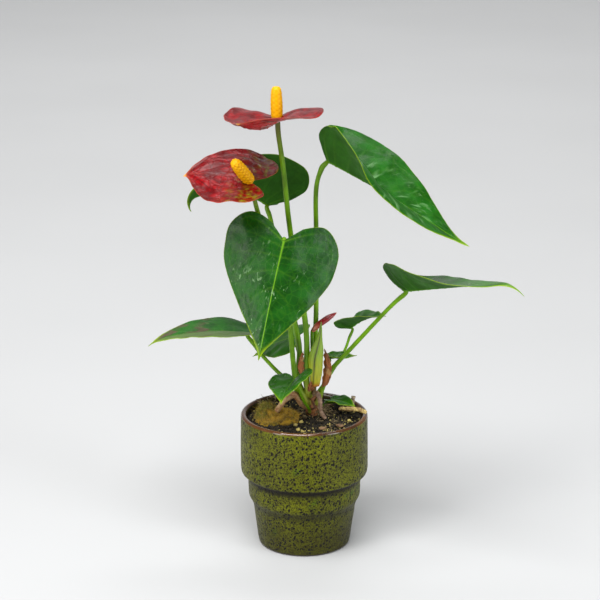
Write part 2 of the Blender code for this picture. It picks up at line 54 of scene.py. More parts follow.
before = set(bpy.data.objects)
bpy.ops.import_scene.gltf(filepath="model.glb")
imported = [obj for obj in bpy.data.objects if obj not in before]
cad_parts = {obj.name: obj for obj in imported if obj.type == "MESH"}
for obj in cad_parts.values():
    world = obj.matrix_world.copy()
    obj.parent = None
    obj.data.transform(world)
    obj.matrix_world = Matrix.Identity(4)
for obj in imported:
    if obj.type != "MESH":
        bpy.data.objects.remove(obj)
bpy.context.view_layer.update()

MM = 0.001
SAME_PLACE = 2e-7  # metres within which points are merged
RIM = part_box("pot")[1].z / MM

# Pot, by height above its foot
RIM_RADIUS = 34.9
BELLY_RADIUS = 35.2
STEP_TOP, STEP_BOTTOM = 43.0, 40.6
STEP_RADIUS = 31.3
SHOULDER_TOP, SHOULDER_BOTTOM = 28.6, 24.0
SHOULDER_RADIUS = 31.0
WAIST_RADIUS = 28.9
BASE_RADIUS = 25.8
FOOT_RADIUS = 23.6
FOOT_ROUND = 2.6
SOFT_EDGE, SOFT_DEPTH = 1.4, 0.5
WALL, FLOOR = 3.0, 4.0

# Mix and rhizome
GAP = 0.3
MIX_DEPTH, MIX_MOUND = 4.5, 3.0
MIX_RADIUS = (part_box("potting_mix")[1].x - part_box("potting_mix")[0].x) / MM / 2
CROWN = (4.0, 1.0)
RHIZOME_RADIUS = 3.4
RHIZOME_SHAPE = ((-17.5, 0.65), (-13, 0.9), (-7, 1), (-2.5, 0.94), (1.5, 1), (5.5, 0.85), (9.5, 0.74),
                 (12.5, 0.56), (15, 0.38))  # height, share of the radius

# Outlines of one half of a blade, as shares of its length: along the midrib, and out from it
LEAF_HEART = ((0, 0), (-0.12, 0.12), (-0.17, 0.29), (-0.04, 0.42), (0.2, 0.43), (0.45, 0.325), (0.7, 0.165),
              (0.9, 0.035), (1, 0))
SHALLOW_HEART = ((0, 0), (-0.1, 0.09), (-0.2, 0.24), (-0.1, 0.36), (0.14, 0.4), (0.42, 0.31), (0.68, 0.16),
                 (0.88, 0.035), (1, 0))
SPATHE_HEART = ((0, 0), (-0.2, 0.13), (-0.3, 0.33), (-0.14, 0.54), (0.2, 0.6), (0.52, 0.46), (0.78, 0.22),
                (0.93, 0.045), (1, 0))
LANCE = ((0, 0), (0.1, 0.09), (0.4, 0.13), (0.75, 0.08), (1, 0))
BACK_REACH = 0.4  # how far behind the joint a midrib's frame is worked out, as a share of the length
MIDRIB_STEPS = 120
VEIN_ARCH = 0.07  # how far a side vein runs ahead of its row at the margin, as a share of all rows


@dataclass
class Blade:
    """One leaf, spathe or scrap of sheath. Left is as seen from the joint, looking to the tip."""

    joint: tuple  # where the stem meets the blade
    length: float  # from the joint to the tip
    heading: float  # compass angle of the midrib from +X, towards +Y
    rise: float  # how steeply the midrib leaves the joint
    droop: float = 0.0  # how much steepness is lost by the tip
    hook: float = 0.0  # extra droop in the last fifth
    sway: float = 0.0  # how far the heading turns by the tip
    roll: float = 0.0  # lifts the left half and lowers the right one
    twist: float = 0.0  # roll added by the tip
    fold: tuple = (0.0, 0.0)  # how steeply the left and right halves leave the midrib
    curl: tuple = (0.0, 0.0)  # angle added between the midrib and the widest margin
    unfold: float = 0.0  # share of the fold and curl that is lost by the tip
    lobes: float = 0.0  # how steeply the lobes lift behind the joint
    width: float = 1.0  # against the outline's own width
    outline: tuple = LEAF_HEART


@dataclass
class Stem:
    """A petiole or a stalk, which leaves the rhizome's side and runs through the route to its blade."""

    side: float  # compass angle round the rhizome
    height: float  # of the foot
    route: tuple
    foot: float  # radius at the foot
    top: float  # radius at the top


@dataclass
class Relief:
    """The fine shape of a blade, in millimetres."""

    veins: int  # side veins in each half
    pads: float  # how far the skin swells between the veins
    rumple: float  # long soft waves all over
    ripple: float  # waves of the margin
    waves: float  # how many of those along each margin
    rib: float  # how far the midrib stands out below
    folds: float = 0.0  # waves that run from the joint to the tip
    thickness: float = 0.45
    rows: int = 120
    columns: int = 44  # in each half


LEAVES = {
    "front": Blade((-10.7, -26, 105.1), 64.8, 232, -68, droop=6, hook=-2, sway=-3, roll=-39, twist=14,
                   fold=(-9, -8), curl=(-16, -16), width=1.11),
    "tall": Blade((12, 2, 141), 88.8, -17, -24, droop=8, hook=-10, sway=-4, roll=-9, twist=33, fold=(40, 63),
                  curl=(-17, -46), unfold=1.1, lobes=60, width=0.88),
    "right": Blade((55, 10, 66.6), 89, -58, 17, droop=3, hook=60, sway=23, roll=-3, twist=3, fold=(20, 62),
                   curl=(-1, -5), unfold=1.4, lobes=73, width=0.56, outline=SHALLOW_HEART),
    "rear": Blade((-19.8, 20, 111.9), 52, 193, 39, droop=71, hook=92, roll=27, twist=8, fold=(54, 51),
                  curl=(-21, -20), unfold=0.6, lobes=-8, width=1.37),
    "left": Blade((-31, 12, 41.3), 57, 183, 11, droop=32, hook=17, roll=4, twist=-27, fold=(22, 7),
                  curl=(-22, -7), lobes=59, width=0.8),
    "low_front": Blade((-5.1, -14, 24.1), 24.6, 244, -14, hook=12, sway=15, roll=19, twist=-9, fold=(28, 17),
                       curl=(-29, -4), lobes=14, width=1.28),
    "back_right": Blade((26.5, 40, 35.8), 26.3, -31, 44, droop=37, hook=6, sway=-5, twist=5, fold=(31, 41),
                        curl=(-9, -7), unfold=0.8, lobes=24, width=1.11),
    "back_left": Blade((-5.7, 30, 33.1), 33.8, 143, -17, droop=27, hook=-5, sway=5, roll=-18, twist=-7,
                       fold=(-4, 6), curl=(-12, -10), lobes=9),
    "low_right": Blade((14.3, 18, 25.3), 15.3, -3, 3, droop=-7, hook=-8, roll=-4, twist=32, fold=(17, 22),
                       lobes=14, width=0.94),
    "on_mix": Blade((15.4, 10, 3.4), 16.3, -26, 7, droop=24, sway=-16, roll=-5, twist=26, fold=(13, 13),
                    curl=(-6, -4), lobes=3),
}
WAVY_LEAF = Relief(veins=8, pads=0.16, rumple=0.5, ripple=1.5, waves=2, rib=0.5)
LARGE_LEAF = Relief(veins=8, pads=0.14, rumple=0.4, ripple=0.35, waves=3.5, rib=0.5)
SMALL_LEAF = Relief(veins=6, pads=0.1, rumple=0.25, ripple=0.35, waves=3, rib=0.3, rows=70, columns=26)
SMOOTH_LEAF = Relief(veins=8, pads=0.12, rumple=0.35, ripple=0.2, waves=2.5, rib=0.5)
RELIEFS = {  # of the leaves that aren't small
    "front": LARGE_LEAF,
    "tall": WAVY_LEAF,
    "right": SMOOTH_LEAF,
    "rear": SMOOTH_LEAF,
    "left": SMOOTH_LEAF,
}
SPATHES = {
    "top": Blade((-14.4, -8, 165.1), 47.8, 257, -9, droop=-34, sway=-26, roll=11, twist=6, fold=(23, 21),
                 curl=(-45, -2), unfold=-0.1, lobes=-54, width=0.93, outline=SPATHE_HEART),
    "left": Blade((-28.4, -18, 134.8), 37.7, 163, 10, droop=16, hook=23, roll=-23, twist=-24, fold=(4, -3),
                  curl=(14, -9), lobes=17, width=1.16, outline=SPATHE_HEART),
}
SPATHE_RELIEF = Relief(veins=7, pads=0.16, rumple=0.28, ripple=0.22, waves=4, rib=0.2, folds=0.35,
                       thickness=0.5)
PETIOLES = {
    "front": Stem(228, 8, ((-2.6, -3.6, 14.5), (-5.1, -4.4, 20.5), (-7.3, -4.6, 44.5), (-9.5, -6, 70.5),
                           (-11, -15, 94.5)), 1.5, 1.3),
    "tall": Stem(73, 12, ((5.5, 5.4, 24.5), (6.4, 5.5, 58.5), (6.3, 5, 96.5), (6.2, 3.6, 124.5),
                          (8.8, 2.6, 136)), 1.4, 1.25),
    "right": Stem(-21, 7.5, ((10.6, 0.2, 15.5), (14.4, 1.4, 23.5), (26.5, 4, 36.7), (47, 8.5, 58.1)),
                  1.3, 1.1),
    "rear": Stem(133, 11.5, ((-1.5, 5.8, 28.5), (-5, 7.5, 44.5), (-12, 12, 74.5), (-17.8, 17.5, 102.5)),
                 1.3, 1.1),
    "left": Stem(152, 5, ((-7, 3.8, 14.5), (-15, 6.5, 21.5), (-23.5, 9.5, 30), (-28, 11, 36)), 1.2, 1),
    "low_front": Stem(250, 3, ((-0.4, -8, 9.5), (-3, -11.5, 17)), 0.8, 0.7),
    "back_right": Stem(54, 8.5, ((12.4, 12, 14.5), (22, 32, 23.5), (25.4, 38, 30.5)), 0.9, 0.75),
    "back_left": Stem(108, 7.5, ((0.5, 13, 16.5), (-3.4, 24, 26.5)), 0.9, 0.75),
    "low_right": Stem(11, 6.5, ((10.8, 6.8, 13.5), (13, 15, 20.5)), 0.7, 0.6),
    "on_mix": Stem(35, 1, ((10.5, 7, 1.4), (12.5, 8.6, 2.5)), 0.8, 0.7),
}
STALKS = {
    "top": Stem(238, 12.5, ((1.3, -1.6, 20.5), (1, -1.2, 46.5), (-3, -2, 76.5), (-7.7, -3.8, 104.5),
                            (-11.2, -5.6, 138.5), (-13.6, -7.2, 156.5)), 1.6, 1.3),
    "left": Stem(184, 10, ((-3.6, 0.2, 20.5), (-2.8, 0, 38.5), (-8, 1, 62.5), (-16, -4, 88.5),
                           (-24, -12, 114.5), (-27, -16, 127.5)), 1.5, 1.2),
}
SPADICES = {  # top, radius, how far the flowers on it stand out
    "top": ((-14.8, -8, 182.9), 3.15, 0.12),
    "left": ((-36.4, -30, 148), 3.15, 0.8),
}
SPADIX_SEAT = 0.7  # from the joint
SPADIX_SHAPE = ((0, 0.86), (0.1, 0.97), (0.35, 1), (0.6, 0.97), (0.8, 0.9), (0.92, 0.78), (0.98, 0.55),
                (1, 0.3))  # share of the length, share of the radius

# The new growth at the crown
SHEATH_RINGS = (  # height, centre, half width, half depth
    (16.5, (5.7, -3.2), 2.6, 1.8),
    (20.5, (6, -3.6), 3.1, 2.2),
    (26.5, (6.2, -3.9), 3.7, 2.4),
    (32.5, (6.2, -3.8), 4, 2.4),
    (37.5, (6.9, -3.8), 3.4, 2),
    (42.5, (7.8, -3.6), 2, 1.5),
    (48.5, (8.7, -3.2), 0.9, 0.8),
    (53, (9.1, -3), 0.25, 0.25),
)
SHEATH_SEAM, SHEATH_WIND = -1.25, -0.9  # the fold's angle at the tip, and its turn to the foot, in radians
BUD_STALK_ROUTE = ((4.3, 1, 19.5), (4.2, 1.2, 30.5), (4.1, 1.5, 44.5))
BUD_STALK_TOP = (4.4, 1.5, 46.8)  # inside the bud
BUD_STALK_RADIUS = 0.9
BUD_SEAT = 1.6
BUD_ROUTE = ((7.2, 1.6, 49.5), (12.5, 3, 53.1), (17.8, 5, 55.9))
BUD_SEAM, BUD_WIND = 4, 2.2  # the seam's angle at the foot, and its turn to the tip, in radians
BUD_RADII = (1.1, 1.7, 1.75, 0.8)
PAPERY = {
    "right": Blade((9.9, -3.2, 15.5), 23, 0, 70, droop=-36, roll=55, fold=(-20, -20), curl=(-20, -20),
                   outline=LANCE),
    "left": Blade((-0.9, -4, 22.5), 14.5, 180, 74, droop=-36, roll=-60, fold=(-10, -10), curl=(-20, -20),
                  outline=LANCE),
    "front": Blade((2.4, -6.6, 14.1), 6.5, 20, 76, roll=75, fold=(-10, -10), curl=(-20, -20), width=1.5,
                   outline=LANCE),
}
PAPERY_RELIEF = Relief(veins=3, pads=0.05, rumple=0.35, ripple=0.7, waves=5, rib=0.05, thickness=0.25,
                       rows=60, columns=12)
ROOTS = {  # compass angle and height of the foot, route, radii
    "left": (196, 4, ((-5.2, -2.2, 10.7), (-9.5, -4.2, 9.9), (-13, -5, 5.5), (-15, -4.4, 2.1)),
             (1.5, 1.9, 1.8, 1.5, 1.4)),
    "right": (298, 12, ((7.2, -6, 12.7), (8.6, -7.4, 9), (8.9, -7.4, 3.5), (11.4, -7.4, -1.1)),
              (1.2, 1.35, 1.25, 1.1, 1)),
}

# What lies on the mix, each place a compass angle and a share of the mix's radius
DRY_STALK_ROUTE = ((3, 0.61, 1.5), (-5, 0.76, 2.5), (-7, 0.91, 2.9), (-8, 1.01, 2.3), (-8.4, 1.08, 1.5))
DRY_STALK_RADII = (1, 1.3, 1.4, 1.1, 1)
TWIG_ROUTE = ((22, 0.88, -1.9), (22.2, 0.91, 1.5), (22.6, 0.925, 5.1))
TWIG_RADII = (1, 1.1, 1.2)
MOSS_MOUNDS = ((167, 0.69, 5.5, 6.6), (188, 0.443, 5, 3.2), (232, 0.38, 5.5, 4.6))  # spread and height last
MOSS_CENTRE = (188, 0.443)
MOSS_EDGE = ((-135, 12.5), (-90, 10), (-45, 15), (-10, 9.5), (45, 7.5), (90, 11), (140, 15), (180, 13.5))
ROOTLETS = (  # centre, spread, how many
    ((11.5, 3, 0.5), 3.2, 46),
    ((8, -4, 0), 3, 18),
    ((-1, -6, -0.5), 3.4, 18),
    ((14, -13, -2.6), 4.2, 12),
    ((-20, 8, 2.5), 4, 12),
)
GRIT_FROM, GRIT_REACH = 4.6, 18  # where pale grit gathers: compass angle in radians, and from the middle
CHIPS = {  # compass angle, share, radii, turn
    "perlite_middle": (-98, 0.38, (1.2, 1, 0.9), 20),
    "perlite_front": (-99, 0.65, (1.3, 1.1, 0.9), 60),
    "bark_front": (-62, 0.655, (2.3, 1.4, 0.9), 15),
    "bark_right": (-35.6, 0.745, (2.6, 1.5, 1), -30),
    "perlite_right": (-12, 0.79, (1.1, 1, 0.9), 0),
    "bark_back": (53.6, 0.74, (2.4, 1.6, 1), 40),
}

# Pits of the glaze
PIT_CELL = 2.15  # a square of the unrolled glaze that may hold one pit
PIT_CELLS = 128  # squares each way before they repeat
PITS_ROUND = 102.4  # squares round the pot
PIT_HEIGHT = 1.35  # a pit's height against its width

# Camera and backdrop
CAMERA_PLACE = (-2.4, -983.8, 438.9)  # above the floor, in millimetres
SENSOR_WIDTH = 36
BACKDROP_START, BACKDROP_BEND = 2.2, 1.2  # metres behind the pot, and the radius of the sweep

# Finishes: how far light spreads under a green skin, in metres, and how strongly it mirrors
GREEN_SCATTER = (0.001, 0.003, 0.0005)
WAXY_SPECULAR = 0.22


# Settings that a user would change


def colour_of(name, description, value):
    return FloatVectorProperty(name=name, description=description, subtype="COLOR", size=3, min=0, max=1,
                               default=value)


def length_of(name, description, value):
    return FloatProperty(name=name, description=description, subtype="DISTANCE", unit="LENGTH", min=0,
                         default=value * MM)


def count_of(name, description, value):
    return IntProperty(name=name, description=description, min=0, default=value)


class AnthuriumPotSettings(bpy.types.PropertyGroup):
    glaze: colour_of("Glaze", "Colour of the glaze where it lies thick", (0.12, 0.132, 0.0005))
    breaking: colour_of("Breaking glaze", "Colour of the glaze where it is thin", (0.016, 0.011, 0.0005))
    pit: colour_of("Pits", "Colour of the pits and specks in the glaze", (0.004, 0.003, 0.001))
    lip: colour_of("Lip", "Colour of the bare-looking lip", (0.1, 0.036, 0.009))
    pit_depth: length_of("Pit depth", "How deep the pits go into the glaze", 0.16)


class AnthuriumMixSettings(bpy.types.PropertyGroup):
    soil: colour_of("Soil", "Colour of the damp potting mix", (0.006, 0.0045, 0.0015))
    grit: colour_of("Grit", "Colour of the perlite and the pale grit", (0.5, 0.4, 0.12))
    moss: colour_of("Moss", "Colour of the dried moss", (0.52, 0.3, 0.008))
    crumbs: count_of("Crumbs", "Loose crumbs on the mix", 3600)
    fibres: count_of("Moss fibres", "Fibres that stand out of the moss", 5200)


class AnthuriumLeafSettings(bpy.types.PropertyGroup):
    upper: colour_of("Upper face", "Colour of a grown leaf's upper face", (0.003, 0.046, 0.0006))
    young: colour_of("Young leaf", "Colour of a young leaf's upper face", (0.025, 0.12, 0.003))
    under: colour_of("Underside", "Colour of a leaf's underside", (0.022, 0.125, 0.001))
    vein: colour_of("Veins", "Colour of the midrib and the veins", (0.13, 0.32, 0.01))
    margin: colour_of("Margin", "Colour of the thin line round a leaf", (0.2, 0.32, 0.005))
    stem: colour_of("Stems", "Colour of the petioles and flower stalks", (0.1, 0.225, 0.002))


class AnthuriumFlowerSettings(bpy.types.PropertyGroup):
    spathe: colour_of("Spathe", "Colour of a spathe's upper face", (0.25, 0.001, 0.0035))
    # shade is painted shade: the red as darkened where shade falls in creases, lines and seams
    shade: colour_of("Spathe, deep", "Colour in a spathe's creases", (0.085, 0.001, 0.002))
    ageing: colour_of("Spathe, greening", "Colour of a spathe's greening lobes and tip", (0.21, 0.22, 0.008))
    spadix: colour_of("Spadix", "Colour of the spadices", (0.77, 0.38, 0.0))


class AnthuriumStageSettings(bpy.types.PropertyGroup):
    floor: colour_of("Floor", "Colour of the floor and the backdrop", (0.5, 0.505, 0.51))
    lens: FloatProperty(name="Lens", description="Focal length in millimetres", default=114, min=10)
    pitch: FloatProperty(name="Pitch", description="How far the camera looks down", subtype="ANGLE",
                         unit="ROTATION", default=math.radians(16.9))


SETTINGS = {
    "anthurium_pot": AnthuriumPotSettings,
    "anthurium_mix": AnthuriumMixSettings,
    "anthurium_leaf": AnthuriumLeafSettings,
    "anthurium_flower": AnthuriumFlowerSettings,
    "anthurium_stage": AnthuriumStageSettings,
}


# Shapes


def smooth_path(points, count, first_knot=0):
    """Places spread evenly from knot to knot on a Catmull-Rom curve through points, from the given knot on.

    Between knots b and c, with a before and d after, the place at t is the cubic that passes b at 0 and c
    at 1 with slopes (c - a) / 2 and (d - b) / 2.
    """
    points = np.asarray(points, float)
    ends = np.vstack([2 * points[0] - points[1], points, 2 * points[-1] - points[-2]])
    where = np.linspace(first_knot, len(points) - 1, count)
    first = np.minimum(where.astype(int), len(points) - 2)
    t = (where - first)[:, None]
    a, b, c, d = (ends[first + i] for i in range(4))
    return 0.5 * (2 * b + (c - a) * t + (2 * a - 5 * b + 4 * c - d) * t**2 + (3 * b - a - 3 * c + d) * t**3)


def clamp(values):
    return np.clip(values, 0, 1)


def turns(count):
    """Angles evenly spaced round a circle, from 0."""
    return np.arange(count) * 2 * np.pi / count


def compass(angle):
    """The level direction at a compass angle in degrees."""
    return math.cos(math.radians(angle)), math.sin(math.radians(angle))


def lengths_along(path):
    """How far along a line of points each point is."""
    return np.concatenate([[0], np.cumsum(np.linalg.norm(np.diff(path, axis=0), axis=1))])


def unit(vectors):
    """The vectors scaled to length one; a vector of no length stays as it is."""
    size = np.linalg.norm(vectors, axis=-1, keepdims=True)
    return vectors / np.where(size > 1e-12, size, 1)


# A seed is an arbitrary number that keeps one piece's unevenness its own and the same each time


def waviness(points, size, seed, waves=20):
    """Soft noise of about -1 to 1: the sum of sine waves with random directions, phases and lengths near
    size."""
    rng = np.random.default_rng(seed)
    points = np.asarray(points, float)
    ways = unit(rng.normal(size=(waves, points.shape[-1])))
    ways = ways * rng.uniform(0.6, 1.7, (waves, 1)) * 2 * np.pi / size
    return np.sin(points @ ways.T + rng.uniform(0, 2 * np.pi, waves)).sum(-1) / math.sqrt(waves)


def tube_waviness(turn, radius, heights, size, seed):
    """Waviness over a straight tube of this radius, an array of heights by turns."""
    places = np.broadcast_arrays(radius * np.cos(turn), radius * np.sin(turn), heights)
    return waviness(np.stack(places, -1), size, seed)


def hills(distance, width):
    """1 on a line and falling off beside it as a bell curve of the given width."""
    return np.exp(-((distance / width) ** 2))


def linked(name, data):
    """A new object of this data, in the scene."""
    made = bpy.data.objects.new(name, data)
    bpy.context.scene.collection.objects.link(made)
    return made


def mesh_of(name, points, faces, attributes):
    """A mesh from points in millimetres above the rim and faces of one size. attributes holds, by name, a
    number or a vector for each point."""
    mesh = bpy.data.meshes.new(name)
    mesh.vertices.add(len(points))
    mesh.vertices.foreach_set("co", ((points + (0, 0, RIM)) * MM).ravel())
    mesh.loops.add(faces.size)
    mesh.loops.foreach_set("vertex_index", faces.ravel())
    mesh.polygons.add(len(faces))
    mesh.polygons.foreach_set("loop_start", np.arange(len(faces)) * faces.shape[1])
    mesh.update(calc_edges=True)
    for label, values in attributes.items():
        kind, slot = ("FLOAT_VECTOR", "vector") if values.ndim > 1 else ("FLOAT", "value")
        mesh.attributes.new(label, kind, "POINT").data.foreach_set(slot, values.ravel())
    return mesh


def grids_object(name, grids, finish, attributes=None, around=True):
    """One smooth object from grids of points, each rows by columns, with a quad between neighbours. around
    joins each grid's last column to its first. Points that coincide are merged, which closes poles and the
    edges where two grids meet. attributes holds, by name, an array for each grid's points."""
    points, quads, first = [], [], 0
    for grid in grids:
        rows, columns = grid.shape[:2]
        index = first + np.arange(rows * columns).reshape(rows, columns)
        if around:
            index = np.hstack([index, index[:, :1]])
        corners = (index[:-1, :-1], index[:-1, 1:], index[1:, 1:], index[1:, :-1])
        quads.append(np.stack(corners, -1).reshape(-1, 4))
        points.append(grid.reshape(-1, 3))
        first += rows * columns
    joined = {}
    for label, parts in (attributes or {}).items():
        joined[label] = np.concatenate([part.reshape(-1, *part.shape[2:]) for part in parts])
    mesh = mesh_of(name, np.concatenate(points), np.concatenate(quads), joined)
    work = bmesh.new()
    work.from_mesh(mesh)
    bmesh.ops.remove_doubles(work, verts=work.verts, dist=SAME_PLACE)
    bmesh.ops.recalc_face_normals(work, faces=work.faces)
    work.to_mesh(mesh)
    work.free()
    mesh.shade_smooth()
    mesh.materials.append(finish)
    return linked(name, mesh)


def scattered_object(name, faces, places, finish, tone, smooth=False):
    """One object of many copies of a small shape. places is an array (copies, points, 3), faces lists one
    copy's faces, and tone is one number for each copy."""
    copies, count = places.shape[:2]
    faces = np.asarray(faces)
    corners = (faces[None] + (np.arange(copies) * count)[:, None, None]).reshape(-1, faces.shape[1])
    mesh = mesh_of(name, places.reshape(-1, 3), corners, {"tone": np.repeat(tone, count)})
    if smooth:
        mesh.shade_smooth()
    mesh.materials.append(finish)
    return linked(name, mesh)


def tube_grid(path, radii, sides):
    """Rings about a path: each point is the path's place plus the radius times a direction that turns once
    round the path. radii is one value for each place, or for each place and side. The ends close at the
    path."""
    path = np.asarray(path, float)
    radii = np.broadcast_to(np.asarray(radii, float).reshape(len(path), -1), (len(path), sides))
    tangent = unit(np.gradient(path, axis=0))
    reference = np.eye(3)[np.argmin(np.abs(path[-1] - path[0]))]
    across = unit(np.cross(tangent, reference))
    other = np.cross(tangent, across)
    turn = turns(sides)
    ring = across[:, None] * np.cos(turn)[:, None] + other[:, None] * np.sin(turn)[:, None]
    return closed(path, path[:, None] + ring * radii[..., None])


def closed(path, rings):
    """The rings with a ring of no size before and after them, at the ends of the path."""
    first, last = (np.broadcast_to(end, (1, *rings.shape[1:])) for end in (path[0], path[-1]))
    return np.concatenate([first, rings, last])


def with_ends(values):
    """The values of a tube's rings, with the first and the last one repeated for its closed ends."""
    return np.concatenate([values[:1], values, values[-1:]])


def turned_grid(profile, sides):
    """A profile of (radius, height above the rim) turned about the pot's axis."""
    profile = np.asarray(profile, float)
    turn = turns(sides)
    radius, height = profile[:, :1], profile[:, 1:]
    return np.stack(np.broadcast_arrays(radius * np.cos(turn), radius * np.sin(turn), height), -1)


def lump_grid(centre, radii, turn, roughness, seed, rows=14, columns=22):
    """A ball of latitudes and longitudes, stretched to its radii, turned about the upright and made
    uneven."""
    tilt = np.linspace(0, np.pi, rows)[:, None]
    angle = turns(columns)
    level = np.sin(tilt)
    ball = np.stack(np.broadcast_arrays(level * np.cos(angle), level * np.sin(angle), -np.cos(tilt)), -1)
    uneven = waviness(ball, 2.2, seed) + 0.4 * waviness(ball, 0.8, seed + 1)
    ball = ball * (1 + roughness * uneven)[..., None]
    wide, deep, high = np.moveaxis(ball * radii, -1, 0)
    cos, sin = compass(turn)
    return np.stack([wide * cos - deep * sin, wide * sin + deep * cos, high], -1) + np.asarray(centre)


# Blades


def midrib_frame(blade):
    """Arrays along the midrib, from behind the joint to the tip: the share of the length, the place, and
    the directions to the left and up.

    The steepness is rise, less droop in proportion to the distance from the joint, less hook in the last
    fifth, and it falls off behind the joint so that the lobes lift. The place is the running sum of the
    directions, moved so that the joint is at its point.
    """
    along = np.linspace(-BACK_REACH, 1, MIDRIB_STEPS)
    ahead, behind = clamp(along), clamp(-along / BACK_REACH)
    near_tip = clamp((along - 0.8) / 0.2)
    steepness = np.radians(blade.rise - blade.droop * ahead - blade.hook * near_tip - blade.lobes * behind)
    turned = np.radians(blade.heading + blade.sway * ahead)
    lean = np.radians(blade.roll + blade.twist * ahead)[:, None]
    flat = np.cos(steepness)
    forward = np.stack([flat * np.cos(turned), flat * np.sin(turned), np.sin(steepness)], 1)
    level = np.stack([-np.sin(turned), np.cos(turned), np.zeros_like(turned)], 1)
    normal = np.cross(forward, level)
    left = level * np.cos(lean) + normal * np.sin(lean)
    up = normal * np.cos(lean) - level * np.sin(lean)
    steps = (forward[1:] + forward[:-1]) / 2 * np.diff(along)[:, None] * blade.length
    place = np.vstack([np.zeros(3), np.cumsum(steps, 0)])
    at_joint = [np.interp(0, along, axis) for axis in place.T]
    return along, place - at_joint + np.array(blade.joint), left, up


def blade_point(blade, along, out, side):
    """The place of flat points: along and out are shares of the length, and side is 1 left or -1 right.

    Across the midrib the surface is an arc: it leaves the midrib at the fold angle, and its angle changes
    evenly until it has changed by the curl at the widest margin.
    """
    shares, place, left, up = midrib_frame(blade)

    def read(values):
        return np.stack([np.interp(along, shares, axis) for axis in values.T], -1)

    hand = 0 if side > 0 else 1
    kept = 1 - blade.unfold * clamp(along)
    fold = np.radians(blade.fold[hand]) * kept
    bend = np.radians(blade.curl[hand]) * kept + 1e-6
    widest = max(point[1] for point in blade.outline) * blade.width
    reach = out / widest
    across = widest / bend * (np.sin(fold + bend * reach) - np.sin(fold)) * blade.length
    lift = widest / bend * (np.cos(fold) - np.cos(fold + bend * reach)) * blade.length
    return read(place) + read(left) * (across * side)[..., None] + read(up) * lift[..., None]


def joint_up(blade):
    """The direction that the blade's upper face looks in at the joint."""
    along, _, _, up = midrib_frame(blade)
    return np.array([np.interp(0, along, axis) for axis in up.T])


@dataclass
class Sheet:
    """A blade's smooth middle surface, as arrays over its grid."""

    t: np.ndarray  # a row's share of the way from the lobes to the tip
    w: np.ndarray  # share of the way from the midrib to the margin
    along: np.ndarray  # share of the length
    flat: np.ndarray  # place on the blade laid flat
    points: np.ndarray
    normal: np.ndarray
    off_vein: np.ndarray  # distance from the nearest side vein
    edge: np.ndarray  # distance from the margin


def blade_sheet(blade, relief):
    """The blade's Sheet. A row runs as a side vein does, from a place on the midrib to the margin ahead of
    it: the first row is the inner edge of the lobes, and the last is the tip. Its columns crowd together at
    the midrib and the margins. Side veins are evenly spaced rows that arch towards the tip."""
    t = np.linspace(0, 1, relief.rows)[:, None]
    even = np.linspace(0, 1, relief.columns + 1)
    share = even - 0.1 * np.sin(2 * np.pi * even)
    margin = smooth_path(blade.outline, relief.rows, first_knot=1)
    along = t**2 + (margin[:, :1] - t**2) * share
    out = np.maximum(margin[:, 1:], 0) * blade.width * share

    def both(left, right):
        return np.concatenate([left[:, ::-1], right[:, 1:]], 1)

    points = both(*(blade_point(blade, along, out, side) for side in (1, -1)))
    along, w = both(along, along), both(share + 0 * t, share + 0 * t)
    flat = np.stack([along * blade.length, both(out, -out) * blade.length, np.zeros_like(along)], -1)
    down, over = np.gradient(points, axis=0), np.gradient(points, axis=1)
    area = np.cross(over, down)
    normal = unit(area)
    normal[-1] = normal[-2]
    row_step = np.linalg.norm(area, axis=-1) / np.maximum(np.linalg.norm(over, axis=-1), 1e-9)
    phase = (t - VEIN_ARCH * w**2) * relief.veins
    off_vein = np.abs(phase - np.round(phase)) * row_step * (relief.rows - 1) / relief.veins
    edge = (1 - w) * np.maximum(margin[:, 1:] * blade.width * blade.length, 0.3)
    return Sheet(t, w, along, flat, points, normal, off_vein, edge)


def blade_swell(blade, relief, sheet, fade, seed):
    """How far the skin stands off the sheet: it swells into pads between veins, waves softly at two sizes,
    folds along its length, and ripples near the margin, all dying away at the tip."""
    t, w, level, hand = sheet.t, sheet.w, sheet.flat[..., :2], np.sign(sheet.flat[..., 1])
    reach = np.abs(sheet.flat[..., 1])
    between = 1 - hills(sheet.off_vein, 1.6) * fade - 0.8 * hills(reach, 1.8)
    pads = relief.pads * between * np.sin(np.pi * w) ** 0.5
    spread = blade.length / 5
    soft = relief.rumple * waviness(level, spread * 1.6, seed) * clamp(reach / spread)
    fine = relief.rumple * 0.12 * waviness(level, spread * 0.35, seed + 1)
    pleat = relief.folds * np.sin(2 * np.pi * 2.2 * w + 0.6 * hand) * np.sin(np.pi * t) ** 0.7
    phase = hand * 1.7 + 2 * np.pi * relief.waves * t
    ripple = relief.ripple * w**3 * np.sin(phase + seed) * np.sin(np.pi * clamp(t)) ** 0.5
    return (pads + soft + fine + pleat + ripple) * clamp((1 - t) * 6)


